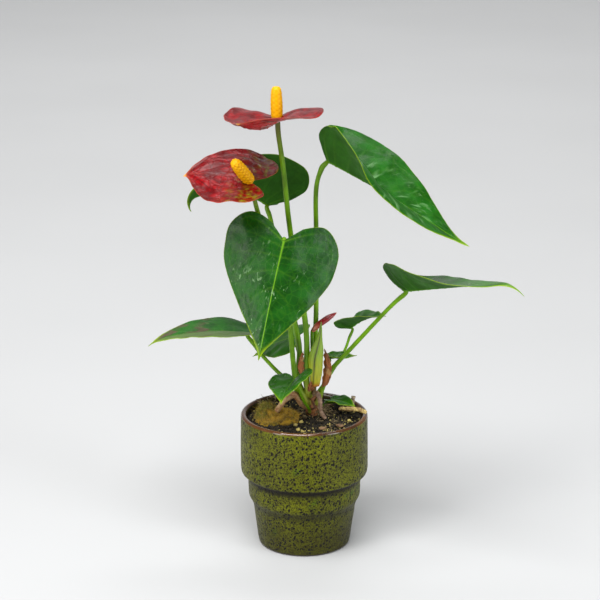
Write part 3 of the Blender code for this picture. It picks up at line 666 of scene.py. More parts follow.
def blade_grids(blade, relief, seed):
    """The upper and under faces of a blade as grids, and their attributes. The faces part by the thickness,
    which falls to nothing round the edge, and the under face bulges over the midrib and the side veins. One
    more vein follows the margin."""
    sheet = blade_sheet(blade, relief)
    t, w, edge = sheet.t, sheet.w, sheet.edge
    reach = np.abs(sheet.flat[..., 1])
    fade = clamp(1 - w) ** 0.6 * clamp((t - 0.01) * 30) * clamp((1 - t) * 8)
    side_vein = hills(sheet.off_vein, 0.45) * fade
    skin = sheet.points + sheet.normal * blade_swell(blade, relief, sheet, fade, seed)[..., None]
    body = relief.thickness * np.sqrt(clamp(edge / 0.5)) * np.sqrt(clamp(t * (relief.rows - 1) / 2))
    body[-1] = 0
    rib = relief.rib * hills(reach, 0.9 - 0.4 * t) * (1 - t)
    top = skin + sheet.normal * (body * (0.5 + 0.5 * rib))[..., None]
    bottom = skin - sheet.normal * (body * (0.5 + 2.2 * rib + 0.5 * side_vein))[..., None]

    middle = hills(reach, 0.18 + 0.5 * (1 - t) ** 2.5) * clamp((1 - t) * 12)
    wobble = 0.03 * np.sin(2 * np.pi * (t - VEIN_ARCH * w**2) * relief.veins)
    collecting = hills((w - 0.86 - wobble) * reach.max(), 0.5) * 0.35
    near_joint = clamp(1 - 4 * t) * (1 - w)
    vein = clamp(middle + side_vein * (0.13 + 0.6 * near_joint) + collecting * 0.2)
    fan = np.stack([w * np.sign(sheet.flat[..., 1]), t + 0 * w, 0 * w], -1)
    rim = hills(edge, 0.3)
    shared = {"flat": sheet.flat * MM, "vein": vein, "edge": rim, "along": sheet.along, "fan": fan}
    attributes = {key: [values, values[:, ::-1]] for key, values in shared.items()}
    attributes["side"] = [np.ones_like(w), np.zeros_like(w)]
    return [top, bottom[:, ::-1]], attributes


# Finishes


class Finish:
    """A material in the making. Each method adds a node and gives back its output."""

    def __init__(self, name):
        self.material = bpy.data.materials.new(name)
        self.material.use_nodes = True
        self.tree = self.material.node_tree
        self.shader = self.tree.nodes["Principled BSDF"]

    def join(self, socket, value):
        if isinstance(value, bpy.types.NodeSocket):
            self.tree.links.new(value, socket)
        elif socket.type == "RGBA" and np.ndim(value) and len(value) == 3:
            socket.default_value = (*value, 1)
        else:
            socket.default_value = value

    def node(self, kind, **settings):
        made = self.tree.nodes.new("ShaderNode" + kind)
        for key, value in settings.items():
            setattr(made, key, value)
        return made

    def scaled(self, vector, stretch):
        mapping = self.node("Mapping")
        self.join(mapping.inputs["Vector"], vector)
        mapping.inputs["Scale"].default_value = stretch
        return mapping.outputs[0]

    def place(self, stretch=(1, 1, 1)):
        """Object coordinates, scaled on each axis."""
        return self.scaled(self.node("TexCoord").outputs["Object"], stretch)

    def value(self, name):
        return self.node("Attribute", attribute_name=name).outputs["Fac"]

    def vector(self, name, stretch=(1, 1, 1)):
        return self.scaled(self.node("Attribute", attribute_name=name).outputs["Vector"], stretch)

    def part(self, vector, axis):
        """One number of a vector, by its axis letter."""
        apart = self.node("SeparateXYZ")
        self.join(apart.inputs[0], vector)
        return apart.outputs[axis]

    def noise(self, vector, scale, detail=3.0, distortion=0.0):
        made = self.node("TexNoise")
        self.join(made.inputs["Vector"], vector)
        for key, value in {"Scale": scale, "Detail": detail, "Distortion": distortion}.items():
            made.inputs[key].default_value = value
        return made.outputs["Fac"]

    def cells(self, vector, scale, feature="F1"):
        made = self.node("TexVoronoi", feature=feature)
        self.join(made.inputs["Vector"], vector)
        made.inputs["Scale"].default_value = scale
        return made.outputs["Distance"]

    def net(self, vector, scale, far, most):
        """A net of lines between cells, of strength most, that fades out at a distance of far cells."""
        return self.band(self.cells(vector, scale, "DISTANCE_TO_EDGE"), far, 0.02, 0, most)

    def band(self, value, low, high, start=0.0, end=1.0):
        """Rises smoothly from start to end as the value goes from low to high."""
        made = self.node("MapRange", interpolation_type="SMOOTHSTEP")
        for key, given in (("Value", value), ("From Min", low), ("From Max", high), ("To Min", start),
                           ("To Max", end)):
            self.join(made.inputs[key], given)
        return made.outputs["Result"]

    def height(self, low, high):
        """0 to 1 between two heights above the pot's foot, in millimetres."""
        return self.band(self.part(self.place(), "Z"), low * MM, high * MM)

    def shadow(self, low, full, until, end):
        """1 between the heights full and until, and falling to 0 at low and at end."""
        return self.times(self.height(low, full), self.height(end, until))

    def sum(self, a, b, operation="ADD"):
        made = self.node("Math", operation=operation)
        self.join(made.inputs[0], a)
        self.join(made.inputs[1], b)
        return made.outputs[0]

    def most(self, a, b):
        return self.sum(a, b, "MAXIMUM")

    def times(self, a, b):
        return self.sum(a, b, "MULTIPLY")

    def blend(self, factor, a, b):
        made = self.node("Mix", data_type="RGBA")
        self.join(made.inputs[0], factor)
        self.join(made.inputs[6], a)
        self.join(made.inputs[7], b)
        return made.outputs[2]

    def bump(self, height, distance):
        """A bump whose full height is the distance in millimetres."""
        made = self.node("Bump")
        self.join(made.inputs["Height"], height)
        made.inputs["Distance"].default_value = distance * MM
        return made.outputs[0]

    def done(self, **sockets):
        """Sets the shader's sockets, each named with underscores for spaces."""
        for key, value in sockets.items():
            self.join(self.shader.inputs[key.replace("_", " ")], value)
        return self.material


def toned(colour, share):
    """The colour made darker by a share below 1, or lighter by one above."""
    return tuple(channel * share for channel in colour)


def glaze_finish(settings):
    """A speckled olive glaze: a fine brown network and fine dots where it breaks over the clay, pits and
    specks, greener patches, a dark shadow under each step, darker low down, brown at the foot's edge and
    the lip."""
    f = Finish("speckled_glaze")
    place = f.place()
    colour = f.blend(f.band(f.noise(place, 38, 2), 0.35, 0.65), settings.glaze, toned(settings.glaze, 0.74))
    patch = f.times(f.band(f.noise(place, 95, 2), 0.56, 0.7), f.shadow(22, 27, 34, 39))
    patch = f.most(patch, f.band(f.noise(place, 75, 2), 0.68, 0.8, 0, 0.5))
    colour = f.blend(f.times(patch, 0.8), colour, (0.05, 0.14, 0.003))
    net = f.noise(place, 700, 2, 1.1)
    colour = f.blend(f.band(net, 0.45, 0.62, 0, 0.6), colour, settings.breaking)
    colour = f.blend(f.band(f.cells(place, 1150), 0.48, 0.24, 0, 0.9), colour, settings.breaking)
    colour = f.blend(f.height(34, 4), colour, f.blend(0.55, colour, settings.breaking))
    under_step, under_shoulder = f.shadow(35.5, 39.5, 41, 42.5), f.shadow(20.5, 24, 26, 28)
    shade = f.most(under_step, f.times(under_shoulder, 0.55))
    colour = f.blend(shade, colour, toned(settings.breaking, 0.4))
    specks = f.times(f.band(f.cells(place, 520), 0.37, 0.28), f.band(f.noise(place, 300, 1), 0.47, 0.53))
    pits = f.most(f.band(f.value("pit"), 0.1, 0.5), specks)
    colour = f.blend(pits, colour, settings.pit)
    colour = f.blend(f.height(1.4, 0.5), colour, (0.05, 0.03, 0.014))
    lip = f.height(RIM - 1.5, RIM - 0.7)
    stain = f.band(f.noise(f.place((1, 1, 2)), 55, 3), 0.4, 0.65)
    colour = f.blend(lip, colour, f.blend(stain, settings.lip, toned(settings.lip, 0.45)))
    colour = f.blend(f.value("inside"), colour, (0.028, 0.016, 0.009))
    rough = f.band(lip, 0, 1, f.band(net, 0.4, 0.65, 0.4, 0.52), 0.16)
    relief = f.sum(f.times(net, 0.5), f.times(pits, -1.0))
    return f.done(Base_Color=colour, Roughness=rough, Normal=f.bump(relief, 0.12), Specular_IOR_Level=0.2,
                  Coat_Weight=f.times(lip, 0.9), Coat_Roughness=0.08)


def soil_finish(settings):
    """Damp potting mix: dark, with browner and paler grains."""
    f = Finish("potting_mix_fine")
    place = f.place()
    grain = f.noise(place, 700, 4)
    colour = f.blend(f.band(grain, 0.4, 0.7), settings.soil, (0.035, 0.024, 0.01))
    colour = f.blend(f.band(f.cells(place, 900), 0.22, 0.1, 0, 0.5), colour, (0.13, 0.1, 0.035))
    return f.done(Base_Color=colour, Roughness=0.92, Normal=f.bump(grain, 0.5))


def crumb_finish(settings):
    """Crumbs whose tone runs from damp soil through bark brown to pale grit."""
    f = Finish("mix_crumbs")
    tone = f.value("tone")
    colour = f.blend(f.band(tone, 0.3, 0.55), settings.soil, (0.022, 0.0155, 0.005))
    colour = f.blend(f.band(tone, 0.74, 0.82), colour, settings.grit)
    grain = f.noise(f.place(), 1500, 3)
    colour = f.blend(f.band(grain, 0.4, 0.7, 0, 0.4), colour, (0.012, 0.009, 0.005))
    return f.done(Base_Color=colour, Roughness=0.88, Normal=f.bump(grain, 0.2))


def moss_finish(settings, name, light):
    """Dried moss: golden brown, greener in patches, with painted shade between the tufts. light scales the
    whole colour: below 1 as painted shade in the cushion, above 1 as painted light on the fibres.
    """
    f = Finish(name)
    place = f.place()
    # light tones the moss as painted shade (below 1) or painted light (above 1)
    colour = f.blend(f.band(f.noise(place, 110, 2), 0.46, 0.6, 0, 0.9), toned(settings.moss, light),
                     toned((0.15, 0.17, 0.006), light))
    # painted shade between the tufts, as dark spots
    colour = f.blend(f.band(f.noise(place, 500, 3), 0.45, 0.68, 0, 0.75), colour, (0.05, 0.03, 0.008))
    if light > 1:
        colour = f.blend(f.band(f.value("tone"), 0.2, 0.9), colour, (0.42, 0.28, 0.04))
    return f.done(Base_Color=colour, Roughness=0.9, Sheen_Weight=0.1, Sheen_Roughness=0.5)


def bark_finish(name, light, dark, scale=260, stretch=(1, 1, 1), roughness=0.75):
    """A woody or root-like skin, streaked along its grain, with darker cracks."""
    f = Finish(name)
    place = f.place(stretch)
    grain = f.noise(place, scale, 5, 0.8)
    colour = f.blend(f.band(grain, 0.35, 0.68), light, dark)
    cracks = f.band(f.noise(place, scale * 2.2, 3), 0.6, 0.72, 0, 0.7)
    colour = f.blend(cracks, colour, toned(dark, 0.35))
    return f.done(Base_Color=colour, Roughness=roughness, Normal=f.bump(grain, 0.35))


def leaf_finish(settings, name, upper, gloss=0.3, marks=0.5, brown=0.0, veins=0.8, streaks=0.0):
    """A waxy leaf: cloudy green above with paler veins and a yellow-green margin, and flatter and olive
    below. marks is the strength of its dry water marks, brown that of an old leaf's dusty half and patches,
    and streaks that of pale lines that run as the side veins do."""
    f = Finish(name)
    flat, along, side = f.vector("flat"), f.value("along"), f.value("side")
    cloud = f.noise(flat, 90, 3)
    above = f.blend(f.band(cloud, 0.38, 0.66), upper, toned(upper, 1.7))
    net = f.net(flat, 260, 0.09, 0.28)
    above = f.blend(net, above, settings.young)
    below = f.blend(f.band(cloud, 0.35, 0.7), settings.under, toned(settings.under, 0.7))
    below = f.blend(net, below, toned(settings.under, 0.55))
    colour = f.blend(side, below, above)
    colour = f.blend(f.times(f.value("vein"), veins), colour, settings.vein)
    stretch = f.vector("flat", (0.45, 1, 1))
    dry = f.times(f.band(f.noise(stretch, 420, 6, 1.4), 0.6, 0.68), f.band(f.noise(flat, 60, 2), 0.46, 0.58))
    dry = f.times(dry, f.band(along, 0.1, 0.6, 0.35, 1.0))
    colour = f.blend(f.times(dry, f.times(side, marks)), colour, (0.2, 0.34, 0.16))
    if streaks:
        lines = f.band(f.noise(f.vector("fan", (1.6, 30, 1)), 1, 4, 0.5), 0.54, 0.72)
        zone = f.times(f.band(along, 0.1, 0.3), f.band(along, 0.9, 0.6))
        colour = f.blend(f.times(f.times(lines, zone), f.times(side, streaks)), colour, (0.16, 0.34, 0.13))
    if brown:
        half = f.times(f.band(f.part(f.vector("fan"), "X"), 0.05, 0.3, 0, 0.65), side)
        colour = f.blend(half, colour, (0.13, 0.19, 0.06))
        dust = f.band(f.noise(f.vector("flat", (0.6, 1.6, 1)), 100, 4, 0.7), 0.5, 0.66, 0, brown)
        colour = f.blend(f.times(dust, f.band(along, 0.15, 0.45)), colour, (0.075, 0.055, 0.03))
        colour = f.blend(f.band(along, 0.86, 0.94), colour, (0.05, 0.035, 0.015))
    colour = f.blend(f.value("edge"), colour, settings.margin)
    colour = f.blend(f.band(along, 0.985, 1.0), colour, (0.6, 0.58, 0.35))
    rough = f.band(side, 0, 1, 0.65, gloss)
    rough = f.sum(rough, f.times(dry, 0.2))
    rough = f.sum(rough, f.band(cloud, 0.3, 0.7, -0.05, 0.06))
    skin = f.sum(f.times(f.noise(flat, 900, 3), 0.5), f.times(net, -1.2))
    return f.done(Base_Color=colour, Roughness=rough, Normal=f.bump(skin, 0.06), Subsurface_Weight=0.06,
                  Subsurface_Radius=GREEN_SCATTER, Specular_IOR_Level=WAXY_SPECULAR)


def stem_finish(settings, name, foot, top, top_start=0.85):
    """A smooth green stem, lined along its length, with its own tint at the foot and near the top."""
    f = Finish(name)
    along = f.value("along")
    lines = f.noise(f.place((1, 1, 0.12)), 1500, 3)
    cloud = f.band(f.noise(f.place(), 90, 3), 0.4, 0.65)
    colour = f.blend(cloud, settings.stem, toned(settings.stem, 1.6))
    colour = f.blend(f.band(along, 0.14, 0.0), colour, foot)
    colour = f.blend(f.band(along, top_start, 1.0), colour, top)
    colour = f.blend(f.band(lines, 0.5, 0.75, 0, 0.35), colour, toned(settings.stem, 0.5))
    return f.done(Base_Color=colour, Roughness=0.38, Normal=f.bump(lines, 0.05), Subsurface_Weight=0.08,
                  Subsurface_Radius=GREEN_SCATTER, Specular_IOR_Level=0.25)


def spathe_finish(settings, name, greening):
    """A waxy red bract: painted shade darkens its creases, its net of sunk lines and its lengthwise streaks,
    and it is bright on its pads, with a yellow tip. greening sets how far its lobes have turned green, in
    blotches."""
    f = Finish(name)
    flat, along = f.vector("flat"), f.value("along")
    cloud = f.noise(f.vector("flat", (0.5, 1, 1)), 150, 4, 0.5)
    above = f.blend(f.band(cloud, 0.38, 0.64), settings.spathe, settings.shade)
    # painted shade in the net of sunk creases
    net = f.net(flat, 210, 0.12, 0.55)
    above = f.blend(net, above, settings.shade)
    # painted shade along lengthwise creases from the joint to the tip
    streaks = f.noise(f.vector("fan", (9, 2.2, 1)), 1, 3, 0.4)
    above = f.blend(f.band(streaks, 0.5, 0.66, 0, 0.85), above, settings.shade)
    above = f.blend(f.times(f.value("vein"), 0.4), above, (0.33, 0.03, 0.012))
    below = f.blend(f.band(cloud, 0.4, 0.65), (0.36, 0.002, 0.006), (0.15, 0.002, 0.003))
    colour = f.blend(f.value("side"), below, above)
    patchy = f.band(f.noise(flat, 230, 4, 0.6), 0.42, 0.66, 0, 0.85)
    lobe = f.times(f.band(along, 0.4, -0.2), patchy)
    turning = f.blend(f.band(f.noise(flat, 300, 4, 0.6), 0.42, 0.62), settings.ageing, (0.16, 0.04, 0.015))
    colour = f.blend(f.times(lobe, greening), colour, turning)
    colour = f.blend(f.band(along, 0.93, 0.975), colour, (0.75, 0.42, 0.06))
    colour = f.blend(f.times(f.value("edge"), 0.4), colour, (0.6, 0.12, 0.06))
    skin = f.sum(f.times(f.noise(flat, 500, 3), 0.4), f.times(net, -1.0))
    return f.done(Base_Color=colour, Roughness=0.32, Normal=f.bump(skin, 0.1), Subsurface_Weight=0.05,
                  Subsurface_Radius=(0.002, 0.0004, 0.0004), Specular_IOR_Level=WAXY_SPECULAR)


def spadix_finish(settings):
    """A fleshy yellow spike, with painted shade, a darker orange, in the furrows between its tiny flowers."""
    f = Finish("spadix_flowers")
    bud = f.value("flower")
    # painted shade: darker orange where the flowers sink into furrows
    colour = f.blend(f.band(bud, 0.25, 0.75), (0.7, 0.3, 0.0), settings.spadix)
    colour = f.blend(f.band(f.noise(f.place(), 170, 3), 0.45, 0.7, 0, 0.4), colour, (0.79, 0.43, 0.0))
    grain = f.noise(f.place(), 2200, 2)
    return f.done(Base_Color=colour, Roughness=0.5, Normal=f.bump(grain, 0.05), Subsurface_Weight=0.1,
                  Subsurface_Radius=(0.003, 0.0015, 0.0003), Specular_IOR_Level=0.2)


def sheath_finish():
    """The pale green leaf sheath: yellow at the foot, green at the tip, with painted shade in its fold, brown
    at its margin."""
    f = Finish("sheath_skin")
    along = f.value("along")
    lines = f.noise(f.place((1, 1, 0.08)), 1300, 3)
    colour = f.blend(f.band(along, 0.05, 0.6), (0.42, 0.4, 0.01), (0.2, 0.34, 0.01))
    colour = f.blend(f.band(along, 0.7, 1.0), colour, (0.2, 0.36, 0.03))
    colour = f.blend(f.band(lines, 0.48, 0.7, 0, 0.4), colour, (0.12, 0.2, 0.012))
    # painted shade along the pinched fold
    colour = f.blend(f.value("fold"), colour, (0.05, 0.06, 0.008))
    colour = f.blend(f.band(along, 0.12, 0.0), colour, (0.4, 0.13, 0.02))
    return f.done(Base_Color=colour, Roughness=0.38, Normal=f.bump(lines, 0.08), Subsurface_Weight=0.1,
                  Subsurface_Radius=(0.002, 0.003, 0.0005))


def papery_finish():
    """Dried sheath: brown-orange fibres with paler threads."""
    f = Finish("papery_skin")
    threads = f.noise(f.vector("flat", (0.15, 2.2, 1)), 900, 4, 0.4)
    colour = f.blend(f.band(threads, 0.36, 0.66), (0.36, 0.11, 0.02), (0.09, 0.025, 0.008))
    colour = f.blend(f.band(f.noise(f.vector("flat"), 160, 3), 0.55, 0.7, 0, 0.7), colour, (0.42, 0.25, 0.08))
    return f.done(Base_Color=colour, Roughness=0.62, Normal=f.bump(threads, 0.12))


def bud_finish(settings):
    """The rolled new spathe: salmon at its foot, deep red along it and pale at its very tip, with painted
    shade along its lines and in the seam of its roll.
    """
    f = Finish("bud_skin")
    along = f.value("along")
    lines = f.noise(f.place((0.3, 1, 1)), 700, 3)
    colour = f.blend(f.band(along, 0.05, 0.5), (0.62, 0.2, 0.11), settings.spathe)
    # painted shade along the lengthwise lines
    colour = f.blend(f.band(lines, 0.45, 0.7, 0, 0.6), colour, settings.shade)
    # painted shade in the seam of the roll
    colour = f.blend(f.value("fold"), colour, toned(settings.shade, 0.5))
    colour = f.blend(f.band(along, 0.93, 1.0), colour, (0.8, 0.6, 0.5))
    return f.done(Base_Color=colour, Roughness=0.33, Normal=f.bump(lines, 0.06), Coat_Weight=0.3,
                  Coat_Roughness=0.2)


def stage_finish(settings):
    """A matt, faintly cloudy sheet."""
    f = Finish("stage_floor")
    cloud = f.noise(f.place(), 3, 2)
    colour = f.blend(f.band(cloud, 0.3, 0.7), settings.floor, toned(settings.floor, 0.97))
    return f.done(Base_Color=colour, Roughness=0.6)


# Pieces


def stand_in(node, name, grids, finish, attributes=None, around=True):
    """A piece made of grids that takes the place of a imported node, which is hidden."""
    piece = grids_object(name, grids, finish, attributes, around)
    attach(piece, "root")
    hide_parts(node)


def adds(piece):
    """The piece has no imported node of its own."""
    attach(piece, "root")


def evenly(corners, step):
    """A line through corners, with points about a step apart and its corners softened as glaze softens an
    edge: each point becomes the weighted mean of the five round it."""
    lengths = lengths_along(corners)
    every = np.linspace(0, lengths[-1], int(lengths[-1] / step))
    line = np.stack([np.interp(every, lengths, axis) for axis in np.transpose(corners)], 1)
    kernel = np.array([1, 2, 3, 2, 1]) / 9
    soft = np.stack([np.convolve(axis, kernel, "same") for axis in line.T], 1)
    soft[:2], soft[-2:] = line[:2], line[-2:]
    return soft


def pot_profile():
    """The pot's outline as (radius, height above its foot), from the foot's centre up the outside, over the
    lip and down the inside to the floor. The inside follows the outside of a wall's thickness lower."""
    outside = [(FOOT_RADIUS, 0), (BASE_RADIUS - SOFT_DEPTH, FOOT_ROUND / 3), (BASE_RADIUS, FOOT_ROUND),
               (WAIST_RADIUS - SOFT_DEPTH, SHOULDER_BOTTOM - SOFT_EDGE),
               (WAIST_RADIUS + SOFT_DEPTH, SHOULDER_BOTTOM + SOFT_EDGE),
               (SHOULDER_RADIUS - SOFT_DEPTH, SHOULDER_TOP - SOFT_EDGE), (SHOULDER_RADIUS, SHOULDER_TOP),
               (STEP_RADIUS, STEP_BOTTOM - SOFT_EDGE), (STEP_RADIUS + SOFT_DEPTH, STEP_BOTTOM),
               (BELLY_RADIUS - SOFT_DEPTH, STEP_TOP - SOFT_EDGE), (BELLY_RADIUS, STEP_TOP + SOFT_EDGE),
               (RIM_RADIUS, RIM - WALL / 2)]
    radii, heights = zip(*outside)
    inner = [(radius - WALL, height + WALL) for radius, height in outside[::-1]]
    inside = [place for place in inner if FLOOR < place[1] < RIM]
    floor = np.interp(FLOOR - WALL, heights, radii) - WALL
    angles = np.linspace(0, np.pi, 11)
    middle = RIM_RADIUS - WALL / 2
    lip = np.stack([middle + WALL / 2 * np.cos(angles), RIM - WALL / 2 + WALL / 2 * np.sin(angles)], 1)
    up = evenly([*outside[1:], *lip[:1]], 0.55)
    down = evenly([*lip[-1:], *inside, (floor, FLOOR)], 1.6)
    foot = [(0, 0), (8, 0), (16, 0), (FOOT_RADIUS - 0.3, 0), (FOOT_RADIUS, 0), (FOOT_RADIUS + 0.6, 0.2)]
    return np.vstack([foot, up, lip[1:-1], down, [(floor / 2, FLOOR), (0, FLOOR)]])


def pits(across, up, cell, seed):
    """How deep in a pit each place of an unrolled surface lies, from 0 to 1. Each square cell may hold one
    pit at a random place in it, taller than wide, and a place looks for pits in its own cell and the eight
    round it."""
    rng = np.random.default_rng(seed)
    offsets = rng.uniform(0.15, 0.85, (PIT_CELLS, PIT_CELLS, 2))
    radii = rng.uniform(-0.16, 0.36, (PIT_CELLS, PIT_CELLS)).clip(0)
    column, row = np.floor(across / cell).astype(int), np.floor(up / cell).astype(int)
    deepest = np.zeros(across.shape)
    for i in (-1, 0, 1):
        for j in (-1, 0, 1):
            c, r = (column + i) % PIT_CELLS, (row + j) % PIT_CELLS
            dx = across / cell - (column + i + offsets[c, r, 0])
            dy = up / cell - (row + j + offsets[c, r, 1])
            away = np.hypot(dx, dy / PIT_HEIGHT) / np.maximum(radii[c, r], 1e-3)
            deepest = np.maximum(deepest, clamp(1.6 * (1 - away)))
    return deepest


def make_glazed_pot(settings):
    """The turned pot, a little out of true, with the larger pits sunk into its outside."""
    sides = 400
    profile = pot_profile()
    height = profile[:, 1:].copy()
    profile[:, 1] -= RIM
    grid = turned_grid(profile, sides)
    turn = turns(sides)
    outward = np.stack([np.cos(turn), np.sin(turn), np.zeros(sides)], 1)
    lip_row = int(np.argmax(profile[:, 1]))
    rows = np.arange(len(profile))[:, None]
    outer = clamp((lip_row - rows) / 6) * clamp((height - 1.5) / 2)
    across = np.broadcast_to(turn / (2 * np.pi) * PITS_ROUND * PIT_CELL, grid.shape[:2])
    pit = pits(across, np.broadcast_to(profile[:, 1:] + 100, grid.shape[:2]), PIT_CELL, 5) * outer
    true = 0.1 * waviness(grid, 30, 3) * clamp(profile[:, :1] / 10) * clamp(height / 4)
    grid = grid + outward * (true - settings.pit_depth / MM * pit)[..., None]
    inside = clamp((rows - lip_row - 3) / 3) + 0 * pit
    attributes = {"pit": [pit], "inside": [inside]}
    stand_in("pot", "glazed_pot", [grid], glaze_finish(settings), attributes)


def mix_level(radius):
    """The mix's surface above the rim, which rises in a soft mound towards the middle."""
    share = np.minimum(radius / MIX_RADIUS, 1)
    return MIX_MOUND * (0.5 + 0.5 * np.cos(np.pi * share)) - MIX_DEPTH


def on_mix(angle, share):
    """The level place at a compass angle and a share of the mix's radius."""
    east, north = compass(angle)
    return share * MIX_RADIUS * east, share * MIX_RADIUS * north


def make_mix_body(settings):
    """The mix as a turned body: a cloddy mound on top, sides just inside the pot's wall, and a flat
    foot."""
    sides, rings = 200, 64
    radii = np.linspace(0, MIX_RADIUS, rings)
    top = np.stack([radii, mix_level(radii)], 1)
    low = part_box("potting_mix")[0].z / MM - RIM
    walls = [(MIX_RADIUS - 0.5, -MIX_DEPTH - 4), (BELLY_RADIUS - WALL - 1.2, STEP_TOP - RIM + 2),
             (STEP_RADIUS - WALL - 1, STEP_BOTTOM - RIM), (WAIST_RADIUS - WALL - 1, SHOULDER_BOTTOM - RIM),
             (BASE_RADIUS - WALL - 1, low), (0, low)]
    grid = turned_grid(np.vstack([top, walls]), sides)
    clods = 0.55 * waviness(grid, 5, 11) + 0.3 * waviness(grid, 1.8, 12) - 0.35
    middle = clamp(radii / 4) * clamp((MIX_RADIUS - radii) / 1.5)
    grid[:rings, :, 2] += clods[:rings] * middle[:, None]
    stand_in("potting_mix", "mix_body", [grid], soil_finish(settings))


def ball_of_twenty():
    """The corners and faces of a regular ball of twenty triangles."""
    work = bmesh.new()
    bmesh.ops.create_icosphere(work, subdivisions=1, radius=1)
    corners = np.array([vert.co for vert in work.verts])
    faces = [[vert.index for vert in face.verts] for face in work.faces]
    work.free()
    return corners, faces


def make_crumbs(settings):
    """Loose crumbs on the mix: uneven lumps, most of them small and dark, some of bark and some of pale
    grit, which lies thickest beside the wall at the front right."""
    rng = np.random.default_rng(21)
    count = settings.crumbs
    corners, faces = ball_of_twenty()
    reach = np.sqrt(rng.uniform(0, 1, count)) * (MIX_RADIUS - 0.9)
    angle = rng.uniform(0, 2 * np.pi, count)
    size = rng.gamma(3, 0.14, count).clip(0.16, 1.2)
    centre = np.stack([reach * np.cos(angle), reach * np.sin(angle), mix_level(reach) + size * 0.25], 1)
    stretch = rng.uniform(0.6, 1.3, (count, 1, 3)) * size[:, None, None]
    bumps = rng.uniform(0.75, 1.2, (count, len(corners), 1))
    turn = rng.uniform(0, 2 * np.pi, count)[:, None]
    lump = corners[None] * bumps * stretch
    x, y = lump[..., 0].copy(), lump[..., 1].copy()
    lump[..., 0], lump[..., 1] = x * np.cos(turn) - y * np.sin(turn), x * np.sin(turn) + y * np.cos(turn)
    tone = rng.uniform(0, 0.78, count)
    anywhere = rng.uniform(0, 1, count) < 0.08
    in_front = (rng.uniform(0, 1, count) < 0.25) & (angle > GRIT_FROM) & (reach > GRIT_REACH)
    pale = anywhere | in_front
    tone[pale] = rng.uniform(0.8, 1, pale.sum())
    adds(scattered_object("mix_crumbs", faces, lump + centre[:, None], crumb_finish(settings), tone))


def moss_height(x, y):
    """How high the moss stands above the mix: the highest of its bell-shaped mounds, over a thin mat."""
    swell = np.zeros(np.shape(x))
    for angle, share, spread, high in MOSS_MOUNDS:
        mx, my = on_mix(angle, share)
        swell = np.maximum(swell, high * np.exp(-((x - mx) ** 2 + (y - my) ** 2) / spread**2))
    return swell


def moss_place(share, angle):
    """The level place at a share of the patch's reach in a compass direction from its centre."""
    reach = np.interp(np.degrees(angle), *zip(*MOSS_EDGE), period=360) * share
    cx, cy = on_mix(*MOSS_CENTRE)
    return cx + reach * np.cos(angle), cy + reach * np.sin(angle)


def moss_top(x, y):
    """The moss's surface above the rim."""
    return mix_level(np.hypot(x, y)) + GAP + 0.3 + moss_height(x, y)


def make_moss(settings):
    """A cushion of moss, and the fibres that make it fuzzy."""
    share = np.linspace(1, 0, 40)[:, None]
    x, y = moss_place(share, turns(120) - np.pi)
    level = np.stack([x, y], -1)
    tufts = 0.5 * waviness(level, 3.5, 31) + 0.3 * waviness(level, 1.4, 32)
    floor = mix_level(np.hypot(x, y)) - 0.3
    upper = np.stack([x, y, np.maximum(moss_top(x, y) + tufts * clamp((1 - share) * 6), floor)], -1)
    under = np.stack([x, y, floor], -1)
    upper[0] = under[0]
    # the cushion's moss darkened as painted shade under the fibres
    finish = moss_finish(settings, "moss_body", 0.7)
    stand_in("moss", "moss_cushion", [upper, under[:, ::-1]], finish)
    make_moss_fibres(settings)


def make_moss_fibres(settings):
    """Thin three-sided spikes that stand on the moss, lean and bend: rings at shares of a fibre's length,
    placed root + way * length * share + bend * share squared, and a tip."""
    rng = np.random.default_rng(33)
    count = settings.fibres
    angle = rng.uniform(-np.pi, np.pi, count)
    x, y = moss_place(np.sqrt(rng.uniform(0, 1, count)) * 0.98, angle)
    slope_x = (moss_top(x + 0.2, y) - moss_top(x - 0.2, y)) / 0.4
    slope_y = (moss_top(x, y + 0.2) - moss_top(x, y - 0.2)) / 0.4
    slope = np.stack([-slope_x, -slope_y, np.ones(count)], 1)
    way = unit(unit(slope) + rng.normal(0, 0.55, (count, 3)))
    long = rng.uniform(0.9, 2.9, count)[:, None]
    bend = unit(rng.normal(size=(count, 3))) * long * 0.45
    root = np.stack([x, y, moss_top(x, y) - 0.3], 1)
    thick = rng.uniform(0.05, 0.11, count)[:, None]
    side = unit(np.cross(way, rng.normal(size=(count, 3))))
    other = np.cross(way, side)
    rings = []
    for part in (0, 0.45, 0.8):
        spine = root + way * long * part + bend * part**2
        for turn in turns(3):
            rings.append(spine + (side * math.cos(turn) + other * math.sin(turn)) * thick * (1 - 0.6 * part))
    tip = root + way * long + bend
    points = np.stack([*rings, tip], 1)
    corners = [(i, (i + 1) % 3) for i in range(3)]
    faces = [(a + i, a + j, a + 3 + j) for a in (0, 3) for i, j in corners]
    faces += [(a + i, a + 3 + j, a + 3 + i) for a in (0, 3) for i, j in corners]
    faces += [(6 + i, 6 + j, 9) for i, j in corners] + [(2, 1, 0)]
    # the fibres' moss lightened as painted light
    finish = moss_finish(settings, "moss_tufts", 1.25)
    tone = rng.uniform(0, 1, count)
    adds(scattered_object("moss_fibres", faces, points, finish, tone, smooth=True))


def rhizome_radius(height):
    """The rhizome's radius at a height above the rim."""
    return RHIZOME_RADIUS * np.interp(height, *zip(*RHIZOME_SHAPE))


